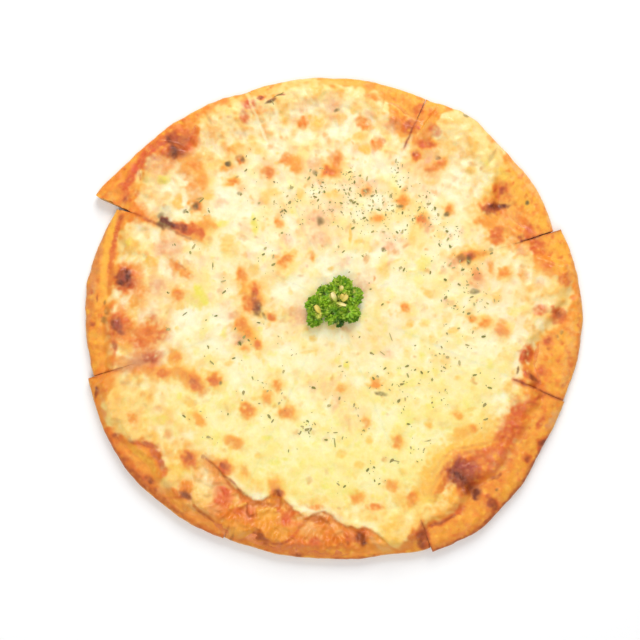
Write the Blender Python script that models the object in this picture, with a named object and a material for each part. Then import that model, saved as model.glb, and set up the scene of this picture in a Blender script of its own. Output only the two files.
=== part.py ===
"""Cheese pizza about 300 mm across, cut into eight slices, with a sprig of curly parsley on top.

Every slice is three layers, a crust, a thin sauce and a cheese cover, and each layer is a slab
bent into the wedge between two cuts. Lengths below are in millimetres and angles in degrees;
the meshes are in metres, +Z up, with the origin under the middle of the pizza.
"""
import math
import random

import bmesh
import bpy
from mathutils import Euler, Matrix, Vector, noise
from mathutils.bvhtree import BVHTree

MM = 0.001

# Where the four straight wheel cuts cross, seen from the middle of the round, and their directions.
CROSSING = (0.0, 12.0)
CUT_ANGLES = (17.5, 65.2, 111.6, 156.4, 197.5, 245.2, 291.6, 336.5)
# Half of the gap between two slices at the crossing, and the gap at the rim for each cut.
KERF_HALF = 0.25
RIM_GAPS = (2.0, 1.6, 1.4, 2.4, 1.8, 1.2, 1.8, 1.6)

# Outer radius of each slice from the middle of the round, at five places from cut to cut.
RIM_RADII = (
    (146.0, 148.5, 148.0, 151.0, 147.5),
    (147.5, 148.5, 149.0, 150.0, 150.0),
    (150.0, 153.0, 156.0, 158.5, 164.0),
    (149.0, 151.0, 152.0, 151.0, 149.5),
    (153.4, 154.5, 155.0, 151.5, 148.5),
    (147.0, 145.5, 144.6, 145.5, 147.5),
    (153.0, 155.0, 152.0, 149.0, 149.5),
    (148.8, 151.0, 152.5, 152.0, 150.4),
)
# How far the cheese reaches, at the same five places.
CHEESE_RADII = (
    (126.0, 125.0, 140.0, 148.0, 134.0),
    (133.0, 139.0, 146.0, 147.0, 147.0),
    (147.0, 147.0, 141.0, 145.0, 146.0),
    (138.0, 138.0, 137.0, 137.0, 137.0),
    (138.0, 149.0, 144.0, 147.0, 140.0),
    (140.0, 141.0, 141.0, 142.0, 143.0),
    (134.0, 134.0, 136.0, 135.0, 136.0),
    (124.0, 125.0, 136.0, 141.0, 126.0),
)
# Where the thick melted cheese ends in a rounded lip, on the slices that show one.
LIP_RADII = (
    (126.0, 125.0, 140.0, 148.0, 134.0),
    (133.0, 139.0, 146.0, 147.0, 147.0),
    (147.0, 147.0, 141.0, 145.0, 146.0),
    (138.0, 138.0, 137.0, 137.0, 137.0),
    (138.0, 149.0, 136.0, 114.0, 119.0),
    (118.0, 110.0, 118.0, 125.0, 138.0),
    (131.0, 112.0, 116.0, 116.0, 121.0),
    (118.0, 122.0, 128.0, 139.0, 124.0),
)

BASE_TOP = 5.5
RIM_CREST = 8.7
RIM_FOOT = 30.0
CREST_IN = 8.0
SHOULDER_DROP = 2.4
EDGE_HIGH = 4.9
EDGE_LOW = 2.2
LAYER_GAP = 0.34
# Extra room under the cheese where the crust rises, so that bent faces stay apart.
SLOPE_GAP = 0.1
SAUCE_THICK = 0.8
SAUCE_SHOWS = 2.4
CHEESE_THICK = 3.0
CHEESE_THIN = 1.5
CHEESE_EDGE = 0.9
TIP = 1.4

RAYS = 11
# Where the crust starts to rise, in from its edge, and the rings that each layer has past there.
FOOT_IN = 31.0
CRUST_RINGS = (31.0, 27.5, 23.5, 19.5, 15.5, 11.5, 7.5, 3.2, 0.6, 0.0)
SAUCE_STEPS = (0.0, 0.25, 0.47, 0.67, 0.85, 1.0)
CHEESE_INNER = 7
CHEESE_STEPS = (0.0, 0.2, 0.38, 0.54, 0.69, 0.83, 0.95, 1.0)

# The broadest blisters and mounds of the cheese: place, half width and height.
MOUNDS = (
    (-115, -83, 12, 1.5), (80, -91, 10, 1.3), (-96, 107, 10, 1.2), (-126, 26, 9, 1.1),
    (-130, -1, 7, 1.0), (55, 62, 9, 0.5), (-4, -40, 14, 0.5), (-60, 95, 14, 0.5),
    (-90, -50, 13, 0.5), (60, -40, 15, 0.5), (30, 110, 12, 0.5), (100, 20, 12, 0.5),
    (-62, -116, 8, 0.8), (-14, -122, 9, 0.8), (100, -79, 9, 0.9), (122, -20, 8, 0.7),
)

# Dried herb flakes: the middle and spread of each patch, and how many of the largest lie there.
HERB_PATCHES = (
    (16, 74, 24, 22, 22), (84, 22, 12, 18, 12), (48, -30, 24, 20, 9),
    (-70, 66, 20, 18, 4), (-6, -68, 12, 9, 4), (-38, -46, 9, 12, 3),
)
FLAKE_LONG = (3.0, 4.0)
FLAKE_WIDE = (1.3, 1.8)
FLAKE_THICK = 1.0

# Parsley: the foot of the sprig, and the place, height and size of each curly head.
SPRIG_FOOT = (2.0, -3.5, 1.4)
SPRIG_HEADS = (
    (7.0, 19.0, 6.0, 6.4), (-9.5, 7.0, 5.0, 6.0), (10.0, 6.0, 5.0, 6.0), (-3.0, 18.5, 4.6, 5.4),
)
LEAFLETS = 2
LEAF_THICK = 0.55
STEM_RADIUS = 0.9


def clear_scene():
    """Take everything that the new file starts with out of the scene."""
    for old in list(bpy.data.objects):
        bpy.data.objects.remove(old, do_unlink=True)


def make_material(name, colour, roughness):
    """A plain finish with the part's own colour."""
    material = bpy.data.materials.new(name)
    material.use_nodes = True
    shader = material.node_tree.nodes["Principled BSDF"]
    shader.inputs["Base Color"].default_value = (*colour, 1.0)
    shader.inputs["Roughness"].default_value = roughness
    shader.inputs["Metallic"].default_value = 0.0
    material.diffuse_color = (*colour, 1.0)
    return material


def smooth(value):
    """Ease from 0 to 1 with level ends."""
    value = min(1.0, max(0.0, value))
    return value * value * (3.0 - 2.0 * value)


def along(values, part):
    """Read a row of evenly spaced values at a part of the way, rounded between them."""
    spot = min(max(part, 0.0), 1.0) * (len(values) - 1)
    low = min(int(spot), len(values) - 2)
    return values[low] + (values[low + 1] - values[low]) * smooth(spot - low)


def soft_noise(x, y, size, seed):
    """Seeded waviness between about -1 and 1, with humps about as wide as size."""
    return noise.noise(Vector((x / size + seed, y / size - seed, 0.37 * seed)))


def slice_span(index):
    """The two side directions of a slice in radians, drawn in by the widening of each cut."""
    start = CUT_ANGLES[index]
    end = CUT_ANGLES[(index + 1) % 8]
    if end < start:
        end += 360.0
    widen_start = (RIM_GAPS[index] / 2.0 - KERF_HALF) / 150.0
    widen_end = (RIM_GAPS[(index + 1) % 8] / 2.0 - KERF_HALF) / 150.0
    return math.radians(start) + widen_start, math.radians(end) - widen_end


def slice_apex(index):
    """The point that both sides of a slice start from, half a cut away from its neighbours."""
    start, end = slice_span(index)
    middle = (start + end) / 2.0
    away = KERF_HALF / math.sin((end - start) / 2.0)
    return CROSSING[0] + away * math.cos(middle), CROSSING[1] + away * math.sin(middle)


def reach(index, part, radius):
    """Distance along a ray of the slice to a circle about the middle of the round."""
    start, end = slice_span(index)
    angle = start + (end - start) * part
    apex = slice_apex(index)
    lean = apex[0] * math.cos(angle) + apex[1] * math.sin(angle)
    return -lean + math.sqrt(lean * lean - apex[0] ** 2 - apex[1] ** 2 + radius * radius)


def spot_on_ray(index, part, distance):
    """The place at a distance along a ray of the slice."""
    start, end = slice_span(index)
    angle = start + (end - start) * part
    apex = slice_apex(index)
    return apex[0] + distance * math.cos(angle), apex[1] + distance * math.sin(angle)


def rim_reach(index, part):
    """Distance along a ray to the outer edge of the crust, a little uneven."""
    wobble = 0.7 * soft_noise(index * 7.3 + part * 5.0, 1.0, 1.0, 3.1)
    return reach(index, part, along(RIM_RADII[index], part) + wobble)


def cheese_reach(index, part):
    """Distance along a ray to the edge of the cheese, never past the shoulder of the crust."""
    wanted = reach(index, part, along(CHEESE_RADII[index], part))
    return min(wanted, rim_reach(index, part) - 3.0)


def sauce_reach(index, part):
    """Distance along a ray to the edge of the sauce, just outside the cheese."""
    return min(cheese_reach(index, part) + SAUCE_SHOWS, rim_reach(index, part) - 1.8)


def crust_top(depth, x, y):
    """Height of the crust's upper side at a depth in from its outer edge."""
    rise = smooth((RIM_FOOT - depth) / (RIM_FOOT - CREST_IN))
    height = BASE_TOP + (RIM_CREST - BASE_TOP + 0.4 * soft_noise(x, y, 45.0, 5.2)) * rise
    if depth < CREST_IN:
        height -= SHOULDER_DROP * (1.0 - depth / CREST_IN) ** 2
    return height


def slope_room(depth):
    """A little more room between layers where the crust rises."""
    return SLOPE_GAP * smooth((FOOT_IN - depth) / 4.0)


def cheese_relief(x, y):
    """Mounds, blisters and soft unevenness of the melted cheese."""
    height = 0.35 * soft_noise(x, y, 26.0, 1.7) + 0.3 * soft_noise(x, y, 13.0, 8.4)
    for centre_x, centre_y, width, tall in MOUNDS:
        away = math.hypot(x - centre_x, y - centre_y) / width
        if away < 1.0:
            height += tall * smooth(1.0 - away)
    return height


def cheese_thickness(index, part, distance):
    """Full inside the lip, thin between the lip and the edge of the cheese."""
    lip = reach(index, part, along(LIP_RADII[index], part))
    edge = cheese_reach(index, part)
    thin = CHEESE_THIN if edge - lip > 4.0 else CHEESE_THICK
    thick = thin + (CHEESE_THICK - thin) * smooth((lip + 1.0 - distance) / 5.0)
    return CHEESE_EDGE + (thick - CHEESE_EDGE) * smooth((edge - distance) / 6.0) ** 0.7


def slab(rings):
    """A flat slab of rays by rings that the layers are bent from; its lower corners come back too."""
    mesh = bmesh.new()
    bmesh.ops.create_grid(mesh, x_segments=RAYS, y_segments=rings, size=0.5)
    lower = list(mesh.verts)
    grown = bmesh.ops.extrude_face_region(mesh, geom=list(mesh.faces))
    upper = [item for item in grown["geom"] if isinstance(item, bmesh.types.BMVert)]
    bmesh.ops.translate(mesh, verts=upper, vec=(0.0, 0.0, 0.1))
    return mesh, lower, upper


def bend(mesh, verts, rings, place):
    """Move the corners of one side of a slab to where place puts that ray and ring."""
    for vert in verts:
        part = vert.co.x + 0.5
        ring = round((vert.co.y + 0.5) * rings)
        x, y, z = place(part, ring)
        vert.co = Vector((x * MM, y * MM, z * MM))


def finish_layer(name, mesh, material):
    """Join the level faces, face everything outward and make the layer an object."""
    level = {}
    for face in mesh.faces:
        heights = [vert.co.z for vert in face.verts]
        if max(heights) - min(heights) < 0.0000001:
            level.setdefault(round(heights[0] * 100000.0), []).append(face)
    for faces in level.values():
        if len(faces) > 1:
            bmesh.ops.dissolve_faces(mesh, faces=faces, use_verts=False)
    bmesh.ops.triangulate(mesh, faces=[face for face in mesh.faces if len(face.verts) > 3])
    bmesh.ops.recalc_face_normals(mesh, faces=list(mesh.faces))
    data = bpy.data.meshes.new(name)
    mesh.to_mesh(data)
    mesh.free()
    data.materials.append(material)
    piece = bpy.data.objects.new(name, data)
    pizza.objects.link(piece)
    return piece


def make_crust(index, material):
    """The bread of one slice, with a low rounded rim and a flat underside."""
    rings = len(CRUST_RINGS)
    mesh, lower, upper = slab(rings)

    def place(part, ring, top):
        rim = rim_reach(index, part)
        if ring == 0:
            distance = TIP
            depth = rim
        else:
            depth = CRUST_RINGS[ring - 1]
            distance = rim - depth
        x, y = spot_on_ray(index, part, distance)
        if top:
            height = crust_top(depth, x, y) if depth > 0.0 else EDGE_HIGH
        else:
            height = 0.0
            if depth < 1.0:
                height = EDGE_LOW if depth == 0.0 else 0.7
        return x, y, height

    bend(mesh, lower, rings, lambda part, ring: place(part, ring, False))
    bend(mesh, upper, rings, lambda part, ring: place(part, ring, True))
    return finish_layer(f"slice_{index + 1}_crust", mesh, material)


def make_sauce(index, material):
    """The thin tomato sauce of one slice, lying on the crust and showing past the cheese."""
    rings = len(SAUCE_STEPS)
    mesh, lower, upper = slab(rings)

    def place(part, ring, lift):
        rim = rim_reach(index, part)
        foot = rim - FOOT_IN
        edge = sauce_reach(index, part)
        distance = TIP if ring == 0 else foot + (edge - foot) * SAUCE_STEPS[ring - 1]
        x, y = spot_on_ray(index, part, distance)
        return x, y, crust_top(rim - distance, x, y) + slope_room(rim - distance) + lift

    bend(mesh, lower, rings, lambda part, ring: place(part, ring, LAYER_GAP))
    bend(mesh, upper, rings, lambda part, ring: place(part, ring, LAYER_GAP + SAUCE_THICK))
    return finish_layer(f"slice_{index + 1}_sauce", mesh, material)


def make_cheese(index, material):
    """The melted cheese of one slice, with its lip, mounds and thin outer zone."""
    rings = CHEESE_INNER + len(CHEESE_STEPS) - 1
    mesh, lower, upper = slab(rings)

    def place(part, ring, top):
        rim = rim_reach(index, part)
        foot = rim - FOOT_IN
        edge = cheese_reach(index, part)
        if ring < CHEESE_INNER:
            distance = TIP + (foot - TIP) * ring / CHEESE_INNER
        else:
            distance = foot + (edge - foot) * CHEESE_STEPS[ring - CHEESE_INNER]
        x, y = spot_on_ray(index, part, distance)
        depth = rim - distance
        height = crust_top(depth, x, y) + 2.0 * LAYER_GAP + SAUCE_THICK
        height += 2.0 * slope_room(depth)
        if top:
            inward = smooth((edge - distance) / 8.0)
            height += cheese_thickness(index, part, distance) + cheese_relief(x, y) * inward
        return x, y, height

    bend(mesh, lower, rings, lambda part, ring: place(part, ring, False))
    bend(mesh, upper, rings, lambda part, ring: place(part, ring, True))
    return finish_layer(f"slice_{index + 1}_cheese", mesh, material)


def slice_of(x, y):
    """The slice that holds a place, and how far the place is from the nearer cut."""
    angle = math.degrees(math.atan2(y - CROSSING[1], x - CROSSING[0])) % 360.0
    if angle < CUT_ANGLES[0]:
        angle += 360.0
    index = max(k for k in range(8) if CUT_ANGLES[k] <= angle)
    end = CUT_ANGLES[(index + 1) % 8] + (360.0 if index == 7 else 0.0)
    side = min(angle - CUT_ANGLES[index], end - angle)
    away = math.hypot(x - CROSSING[0], y - CROSSING[1])
    return index, away * math.sin(math.radians(side)), away


def herb_places():
    """Seeded places of the largest herb flakes, kept off the cuts, the sprig and each other."""
    chooser = random.Random(41)
    places = []
    for middle_x, middle_y, wide, tall, count in HERB_PATCHES:
        laid = 0
        while laid < count:
            x = middle_x + wide * chooser.uniform(-1.0, 1.0)
            y = middle_y + tall * chooser.uniform(-1.0, 1.0)
            index, side, away = slice_of(x, y)
            crowded = any(math.hypot(x - px, y - py) < 6.0 for _, px, py in places)
            if side < 4.5 or away < 26.0 or crowded:
                continue
            places.append((index, x, y))
            laid += 1
    return places, chooser


def fuse(body, bits):
    """Join small solids to a body with one Boolean union on their collection."""
    group = bpy.data.collections.new(body.name + "_bits")
    bpy.context.scene.collection.children.link(group)
    for bit in bits:
        group.objects.link(bit)
    union = body.modifiers.new("union", "BOOLEAN")
    union.operation = "UNION"
    union.operand_type = "COLLECTION"
    union.collection = group
    union.solver = "EXACT"
    bpy.context.view_layer.update()
    joined = bpy.data.meshes.new_from_object(body.evaluated_get(bpy.context.evaluated_depsgraph_get()))
    body.modifiers.clear()
    body.data = joined
    for bit in bits:
        bpy.data.objects.remove(bit, do_unlink=True)
    bpy.data.collections.remove(group)


def add_herbs(cheeses):
    """Herb flakes half sunk in the cheese and fused to it."""
    places, chooser = herb_places()
    for index, cheese in enumerate(cheeses):
        tree = BVHTree.FromObject(cheese, bpy.context.evaluated_depsgraph_get())
        bits = []
        for owner, x, y in places:
            if owner != index:
                continue
            hit, normal, _, _ = tree.ray_cast(Vector((x * MM, y * MM, 0.05)), Vector((0.0, 0.0, -1.0)))
            if hit is None:
                continue
            mesh = bmesh.new()
            bmesh.ops.create_cone(
                mesh, cap_ends=True, segments=5, radius1=0.5, radius2=0.42, depth=1.0)
            size = Vector((chooser.uniform(*FLAKE_LONG), chooser.uniform(*FLAKE_WIDE), FLAKE_THICK))
            bmesh.ops.scale(mesh, vec=size * MM, verts=list(mesh.verts))
            data = bpy.data.meshes.new("flake")
            mesh.to_mesh(data)
            mesh.free()
            flake = bpy.data.objects.new("flake", data)
            turn = normal.to_track_quat("Z", "Y").to_matrix().to_4x4()
            spin = Matrix.Rotation(chooser.uniform(0.0, math.tau), 4, "Z")
            flake.matrix_world = Matrix.Translation(hit) @ turn @ spin
            bits.append(flake)
        if bits:
            fuse(cheese, bits)


def stem(points, radius):
    """A round stem along a few points, as a closed mesh object."""
    curve = bpy.data.curves.new("stem", "CURVE")
    curve.dimensions = "3D"
    curve.bevel_depth = radius * MM
    curve.bevel_resolution = 0
    curve.use_fill_caps = True
    line = curve.splines.new("POLY")
    line.points.add(len(points) - 1)
    for point, spot in zip(line.points, points):
        point.co = (spot[0] * MM, spot[1] * MM, spot[2] * MM, 1.0)
    tube = bpy.data.objects.new("stem_curve", curve)
    bpy.context.scene.collection.objects.link(tube)
    bpy.context.view_layer.update()
    data = bpy.data.meshes.new_from_object(tube.evaluated_get(bpy.context.evaluated_depsgraph_get()))
    bpy.data.objects.remove(tube, do_unlink=True)
    mesh = bmesh.new()
    mesh.from_mesh(data)
    bmesh.ops.remove_doubles(mesh, verts=list(mesh.verts), dist=0.00001)
    bmesh.ops.recalc_face_normals(mesh, faces=list(mesh.faces))
    mesh.to_mesh(data)
    mesh.free()
    return bpy.data.objects.new("stem", data)


def leaflet(centre, size, heading, tilt, phase):
    """A curly leaflet: a fan with a rippled outer edge, given a thickness."""
    columns = 8
    rows = 2
    mesh = bmesh.new()
    bmesh.ops.create_grid(mesh, x_segments=columns, y_segments=rows, size=0.5)
    for vert in mesh.verts:
        turn = math.radians(-150.0 + 300.0 * (vert.co.x + 0.5))
        out = vert.co.y + 0.5
        lobes = math.sin(5.0 * turn + phase)
        radius = 0.5 + (size * (0.9 + 0.12 * lobes) - 0.5) * out
        height = 1.5 * out * math.sin(5.0 * turn + phase + 1.2) + 1.6 * out * out
        vert.co = Vector((radius * math.cos(turn), radius * math.sin(turn), height)) * MM
    bmesh.ops.triangulate(mesh, faces=list(mesh.faces))
    bmesh.ops.solidify(mesh, geom=list(mesh.faces), thickness=LEAF_THICK * MM)
    bmesh.ops.recalc_face_normals(mesh, faces=list(mesh.faces))
    data = bpy.data.meshes.new("leaflet")
    mesh.to_mesh(data)
    mesh.free()
    piece = bpy.data.objects.new("leaflet", data)
    turn = Euler((0.0, tilt, heading), "XYZ").to_matrix().to_4x4()
    piece.matrix_world = Matrix.Translation(Vector(centre) * MM) @ turn
    return piece


def make_parsley(material, cheeses):
    """A sprig of curly parsley: stems with heads of two leaflets, resting on the cheese."""
    chooser = random.Random(7)
    foot = Vector(SPRIG_FOOT)
    bits = []
    for x, y, z, size in SPRIG_HEADS:
        head = Vector((x, y, z))
        middle = foot.lerp(head, 0.55) + Vector((0.0, 0.0, 1.2))
        bits.append(stem((foot, middle, head), STEM_RADIUS))
        facing = math.atan2(y - 11.0, x)
        for number in range(LEAFLETS):
            heading = facing + math.radians(150.0) * (number - 0.5) + chooser.uniform(-0.2, 0.2)
            away = Vector((math.cos(heading), math.sin(heading), 0.0))
            centre = head + away * size * 0.42 + Vector((0.0, 0.0, 1.2 + 0.7 * number))
            bits.append(stem((head - away * 0.6 - Vector((0.0, 0.0, 0.3)), centre), STEM_RADIUS * 0.9))
            tilt = math.radians(chooser.uniform(12.0, 26.0))
            bits.append(leaflet(centre, size, heading, tilt, chooser.uniform(0.0, math.tau)))
    data = bpy.data.meshes.new("parsley_sprig")
    mesh = bmesh.new()
    bmesh.ops.create_icosphere(mesh, subdivisions=1, radius=1.5 * MM)
    bmesh.ops.translate(mesh, verts=list(mesh.verts), vec=foot * MM)
    mesh.to_mesh(data)
    mesh.free()
    data.materials.append(material)
    sprig = bpy.data.objects.new("parsley_sprig", data)
    pizza.objects.link(sprig)
    fuse(sprig, bits)
    sprig.data.materials.clear()
    sprig.data.materials.append(material)
    drop_onto(sprig, cheeses)
    return sprig


def drop_onto(sprig, cheeses):
    """Lower or lift the sprig until it stands a hair above the cheese under it."""
    low = min(vert.co.z for vert in sprig.data.vertices)
    clear = 1.0
    for cheese in cheeses:
        tree = BVHTree.FromObject(cheese, bpy.context.evaluated_depsgraph_get())
        for vert in sprig.data.vertices:
            start = Vector((vert.co.x, vert.co.y, 0.05))
            hit, _, _, _ = tree.ray_cast(start, Vector((0.0, 0.0, -1.0)))
            if hit is not None:
                clear = min(clear, (vert.co.z - low) - hit.z)
    sprig.data.transform(Matrix.Translation((0.0, 0.0, -low - clear + 0.0004)))


def centre_on_origin(parts, crusts):
    """Bring the middle of the pizza over the origin, with the underside at height zero."""
    corners = [vert.co for crust in crusts for vert in crust.data.vertices]
    shift = Vector((
        -(min(c.x for c in corners) + max(c.x for c in corners)) / 2.0,
        -(min(c.y for c in corners) + max(c.y for c in corners)) / 2.0,
        -min(c.z for c in corners),
    ))
    for part in parts:
        part.data.transform(Matrix.Translation(shift))
    print("middle moved by", [round(value * 1000.0, 3) for value in shift])


clear_scene()
pizza = bpy.data.collections.new("cheese_pizza")
bpy.context.scene.collection.children.link(pizza)
crust_finish = make_material("baked_crust", (0.83, 0.42, 0.12), 0.6)
sauce_finish = make_material("tomato_sauce", (0.72, 0.22, 0.06), 0.4)
cheese_finish = make_material("melted_cheese", (0.95, 0.80, 0.42), 0.4)
leaf_finish = make_material("parsley_leaf", (0.12, 0.30, 0.03), 0.5)

crusts = [make_crust(index, crust_finish) for index in range(8)]
sauces = [make_sauce(index, sauce_finish) for index in range(8)]
cheeses = [make_cheese(index, cheese_finish) for index in range(8)]
add_herbs(cheeses)
parsley = make_parsley(leaf_finish, cheeses)
centre_on_origin(crusts + sauces + cheeses + [parsley], crusts)
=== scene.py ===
# %% [markdown]
# # A cheese pizza, dressed
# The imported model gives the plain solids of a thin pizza: eight slices, each with a crust, a sauce and
# a cheese layer, and a sprig of parsley. This lesson gives each of them the surface that food has.
# Melted cheese is never even, so its mounds, melted shreds and toasted places are worked out on one
# drawing sheet over the whole round, and every slice then reads the same sheet. That keeps the
# cheese whole where it has run together over the cuts.

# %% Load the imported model
import math
import random

import bpy
import numpy as np
from mathutils import Euler, Matrix, Vector, noise


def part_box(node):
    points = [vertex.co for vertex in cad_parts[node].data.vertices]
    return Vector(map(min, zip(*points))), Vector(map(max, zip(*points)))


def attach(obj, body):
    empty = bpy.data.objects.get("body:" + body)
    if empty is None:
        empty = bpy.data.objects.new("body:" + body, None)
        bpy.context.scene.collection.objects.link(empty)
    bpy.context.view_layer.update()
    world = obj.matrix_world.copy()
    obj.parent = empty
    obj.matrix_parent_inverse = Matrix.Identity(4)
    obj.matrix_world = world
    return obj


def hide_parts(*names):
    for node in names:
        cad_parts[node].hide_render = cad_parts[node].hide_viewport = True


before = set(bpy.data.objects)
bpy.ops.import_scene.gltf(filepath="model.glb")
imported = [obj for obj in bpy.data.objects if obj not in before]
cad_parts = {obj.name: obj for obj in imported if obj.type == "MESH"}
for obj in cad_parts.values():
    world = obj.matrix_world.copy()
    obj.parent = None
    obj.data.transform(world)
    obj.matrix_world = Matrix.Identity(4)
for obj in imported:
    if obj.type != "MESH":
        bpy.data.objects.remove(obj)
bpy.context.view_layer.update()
bpy.ops.object.select_all(action="DESELECT")
MM = 0.001

# %% [markdown]
# The round isn't a true circle. Each slice has its own outer edge, its own edge of the cheese and, at
# the near side, a thick lip where the cheese stopped flowing. They are read at five places from cut
# to cut, in millimetres from the middle of the round. The middle of the round lies a little off the
# origin, because the origin is under the middle of the whole outline.

# %% The plan of the pizza
MIDDLE = (-0.563, -2.342)
CROSSING = (0.0, 12.0)
CUT_ANGLES = np.array((17.5, 65.2, 111.6, 156.4, 197.5, 245.2, 291.6, 336.5, 377.5))
RIM_GAPS = (.55, .4, .12, 2.2, .45, .2, .2, .25, .55)
OPENS_AT = (122, 138, 143, 136, 135, 143, 134, 126, 122)
RIM_RADII = np.array((
    (146.0, 148.5, 148.0, 151.0, 147.5), (147.5, 148.5, 149.0, 150.0, 150.0),
    (150.0, 153.0, 156.0, 158.5, 164.0), (149.0, 151.0, 152.0, 151.0, 149.5),
    (153.4, 154.5, 155.0, 151.5, 148.5), (147.0, 145.5, 144.6, 145.5, 149.8),
    (153.0, 155.0, 152.0, 149.0, 149.5), (148.8, 151.0, 152.5, 152.0, 150.4)))
CHEESE_RADII = np.array((
    (126.0, 125.0, 140.0, 148.5, 134.0), (133.0, 139.0, 146.0, 147.5, 147.5),
    (147.0, 147.0, 141.0, 145.0, 146.0), (138.0, 138.0, 137.0, 137.0, 137.0),
    (138.0, 149.0, 144.0, 147.0, 141.0), (141.0, 141.5, 141.5, 142.0, 144.0),
    (134.0, 134.0, 136.0, 135.0, 136.0), (124.0, 125.0, 136.0, 141.0, 126.0)))

BASE_TOP = 5.5
RIM_CREST = 8.7
RIM_FOOT = 30.0
CREST_IN = 8.0
SHOULDER_DROP = 2.4
SAUCE_TOP = 0.95
CHEESE_FLOOR = 1.1
CHEESE_FULL = 3.3
CHEESE_THIN = 1.4
COARSE = 1


def ease(value):
    """Ease from 0 to 1 with level ends."""
    value = np.clip(value, 0.0, 1.0)
    return value * value * (3.0 - 2.0 * value)


def along(values, part):
    """Read a row of evenly spaced values at a part of the way, rounded between them."""
    spot = np.clip(part, 0.0, 1.0) * (len(values) - 1)
    low = np.minimum(spot.astype(int), len(values) - 2)
    return values[low] + (values[low + 1] - values[low]) * ease(spot - low)


def reach(angle, radius):
    """Distance from the crossing of the cuts, along a direction, to a radius about the middle."""
    lean = CROSSING[0] * np.cos(angle) + CROSSING[1] * np.sin(angle)
    return -lean + np.sqrt(lean * lean - CROSSING[1] ** 2 - CROSSING[0] ** 2 + radius * radius)


def waver(place, size, seed):
    """A line of seeded waviness, read at places in millimetres."""
    return np.array([noise.noise(Vector((p / size + seed, seed * 1.7, 0.5))) for p in np.ravel(place)])


print("slices:", len(RIM_RADII), "widest radius:", RIM_RADII.max())

# %% [markdown]
# The drawing sheet is a fine square grid over the round. Soft unevenness of one size is made by
# filtering seeded white noise, which has no direction and never repeats.

# %% The drawing sheet
PITCH = 0.4
SHEET_X = np.arange(-172.0, 172.0, PITCH)
SHEET_Y = np.arange(-162.0, 168.0, PITCH)
GRID_X, GRID_Y = np.meshgrid(SHEET_X, SHEET_Y)
RADIUS = np.hypot(GRID_X, GRID_Y)
ANGLE = np.degrees(np.arctan2(GRID_Y, GRID_X)) % 360.0
FREQUENCY = np.hypot(*np.meshgrid(np.fft.rfftfreq(SHEET_X.size, PITCH), np.fft.fftfreq(SHEET_Y.size, PITCH)))


def unevenness(size, seed, spread=0.4):
    """Soft seeded humps about as wide as half of size, with a typical height of one."""
    white = np.random.default_rng(seed).standard_normal(GRID_X.shape)
    band = np.exp(-0.5 * ((FREQUENCY * size - 1.0) / spread) ** 2)
    out = np.fft.irfft2(np.fft.rfft2(white) * band, s=GRID_X.shape)
    return out / out.std()


def blur(field, size):
    """Soften a field over a distance in millimetres."""
    keep = np.exp(-2.0 * (math.pi * FREQUENCY * size) ** 2)
    return np.fft.irfft2(np.fft.rfft2(field) * keep, s=GRID_X.shape)


def read(field, x, y):
    """Read a field of the sheet at places, smoothly between its points."""
    u = np.clip((x - SHEET_X[0]) / PITCH, 0, SHEET_X.size - 1.001)
    v = np.clip((y - SHEET_Y[0]) / PITCH, 0, SHEET_Y.size - 1.001)
    i, j = u.astype(int), v.astype(int)
    u, v = u - i, v - j
    if field.ndim == 3:
        u, v = u[:, None], v[:, None]
    return (field[j, i] * (1 - u) * (1 - v) + field[j, i + 1] * u * (1 - v)
            + field[j + 1, i] * (1 - u) * v + field[j + 1, i + 1] * u * v)


WAVE_60 = unevenness(60.0, 1, 0.5)
WAVE_30 = unevenness(30.0, 2)
WAVE_16 = unevenness(16.0, 3)
WAVE_9 = unevenness(9.0, 4)
WAVE_5 = unevenness(5.0, 5)
WAVE_2 = unevenness(2.6, 6)
RAGGED_X = 0.6 * unevenness(12.0, 7) + 0.5 * WAVE_5
RAGGED_Y = 0.6 * unevenness(12.0, 8) + 0.5 * unevenness(5.0, 9)
print("sheet:", GRID_X.shape)

# %% [markdown]
# Grated cheese keeps a trace of its shreds when it melts. Each shred is a soft low ridge, laid at a
# random place and direction, a little paler or yellower than its neighbours.

# %% Melted shreds
SHREDS = 2300
REACH = 11.0
PATCH = 56
shred_height = np.zeros_like(GRID_X)
shred_tint = np.zeros_like(GRID_X)
chooser = np.random.default_rng(21)
for _ in range(SHREDS):
    far = 150.0 * math.sqrt(chooser.uniform())
    way = chooser.uniform(0, math.tau)
    mid_x, mid_y = far * math.cos(way), far * math.sin(way)
    long, wide = chooser.uniform(4.0, 9.5), chooser.uniform(1.3, 2.6)
    turn, bow = chooser.uniform(0, math.pi), chooser.uniform(-0.05, 0.05)
    tall, tint = chooser.uniform(0.35, 1.0), chooser.uniform(-1.0, 1.0)
    i0 = max(int((mid_x - REACH - SHEET_X[0]) / PITCH), 0)
    j0 = max(int((mid_y - REACH - SHEET_Y[0]) / PITCH), 0)
    box = (slice(j0, j0 + PATCH), slice(i0, i0 + PATCH))
    dx, dy = GRID_X[box] - mid_x, GRID_Y[box] - mid_y
    u = dx * math.cos(turn) + dy * math.sin(turn)
    v = -dx * math.sin(turn) + dy * math.cos(turn) - bow * u * u
    crest = tall * np.clip(1.0 - (v / wide) ** 2, 0, 1) * np.clip(1.25 - (u / long) ** 2, 0, 1)
    over = crest > shred_height[box]
    shred_height[box] = np.where(over, crest, shred_height[box])
    shred_tint[box] = np.where(over, tint, shred_tint[box])
shred_height = blur(shred_height, 0.8)
shred_tint = blur(shred_tint, 0.9)
print("shreds:", SHREDS, "mean height:", round(float(shred_height.mean()), 2))

# %% [markdown]
# A hot oven marks cheese in a few clear ways: it toasts the tops of bubbles orange and then brown,
# it chars the thinnest skins, and it lets the sauce show through where the cheese is thin. Colours
# are laid on the sheet as a painter would, from the pale ground to the dark blisters. First come the
# paints, named for what they look like on the plate.

# %% Paints and the cream ground
def paint(red, green, blue):
    """A screen colour as numbers from 0 to 1."""
    return np.array((red, green, blue), float) / 255.0


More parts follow.
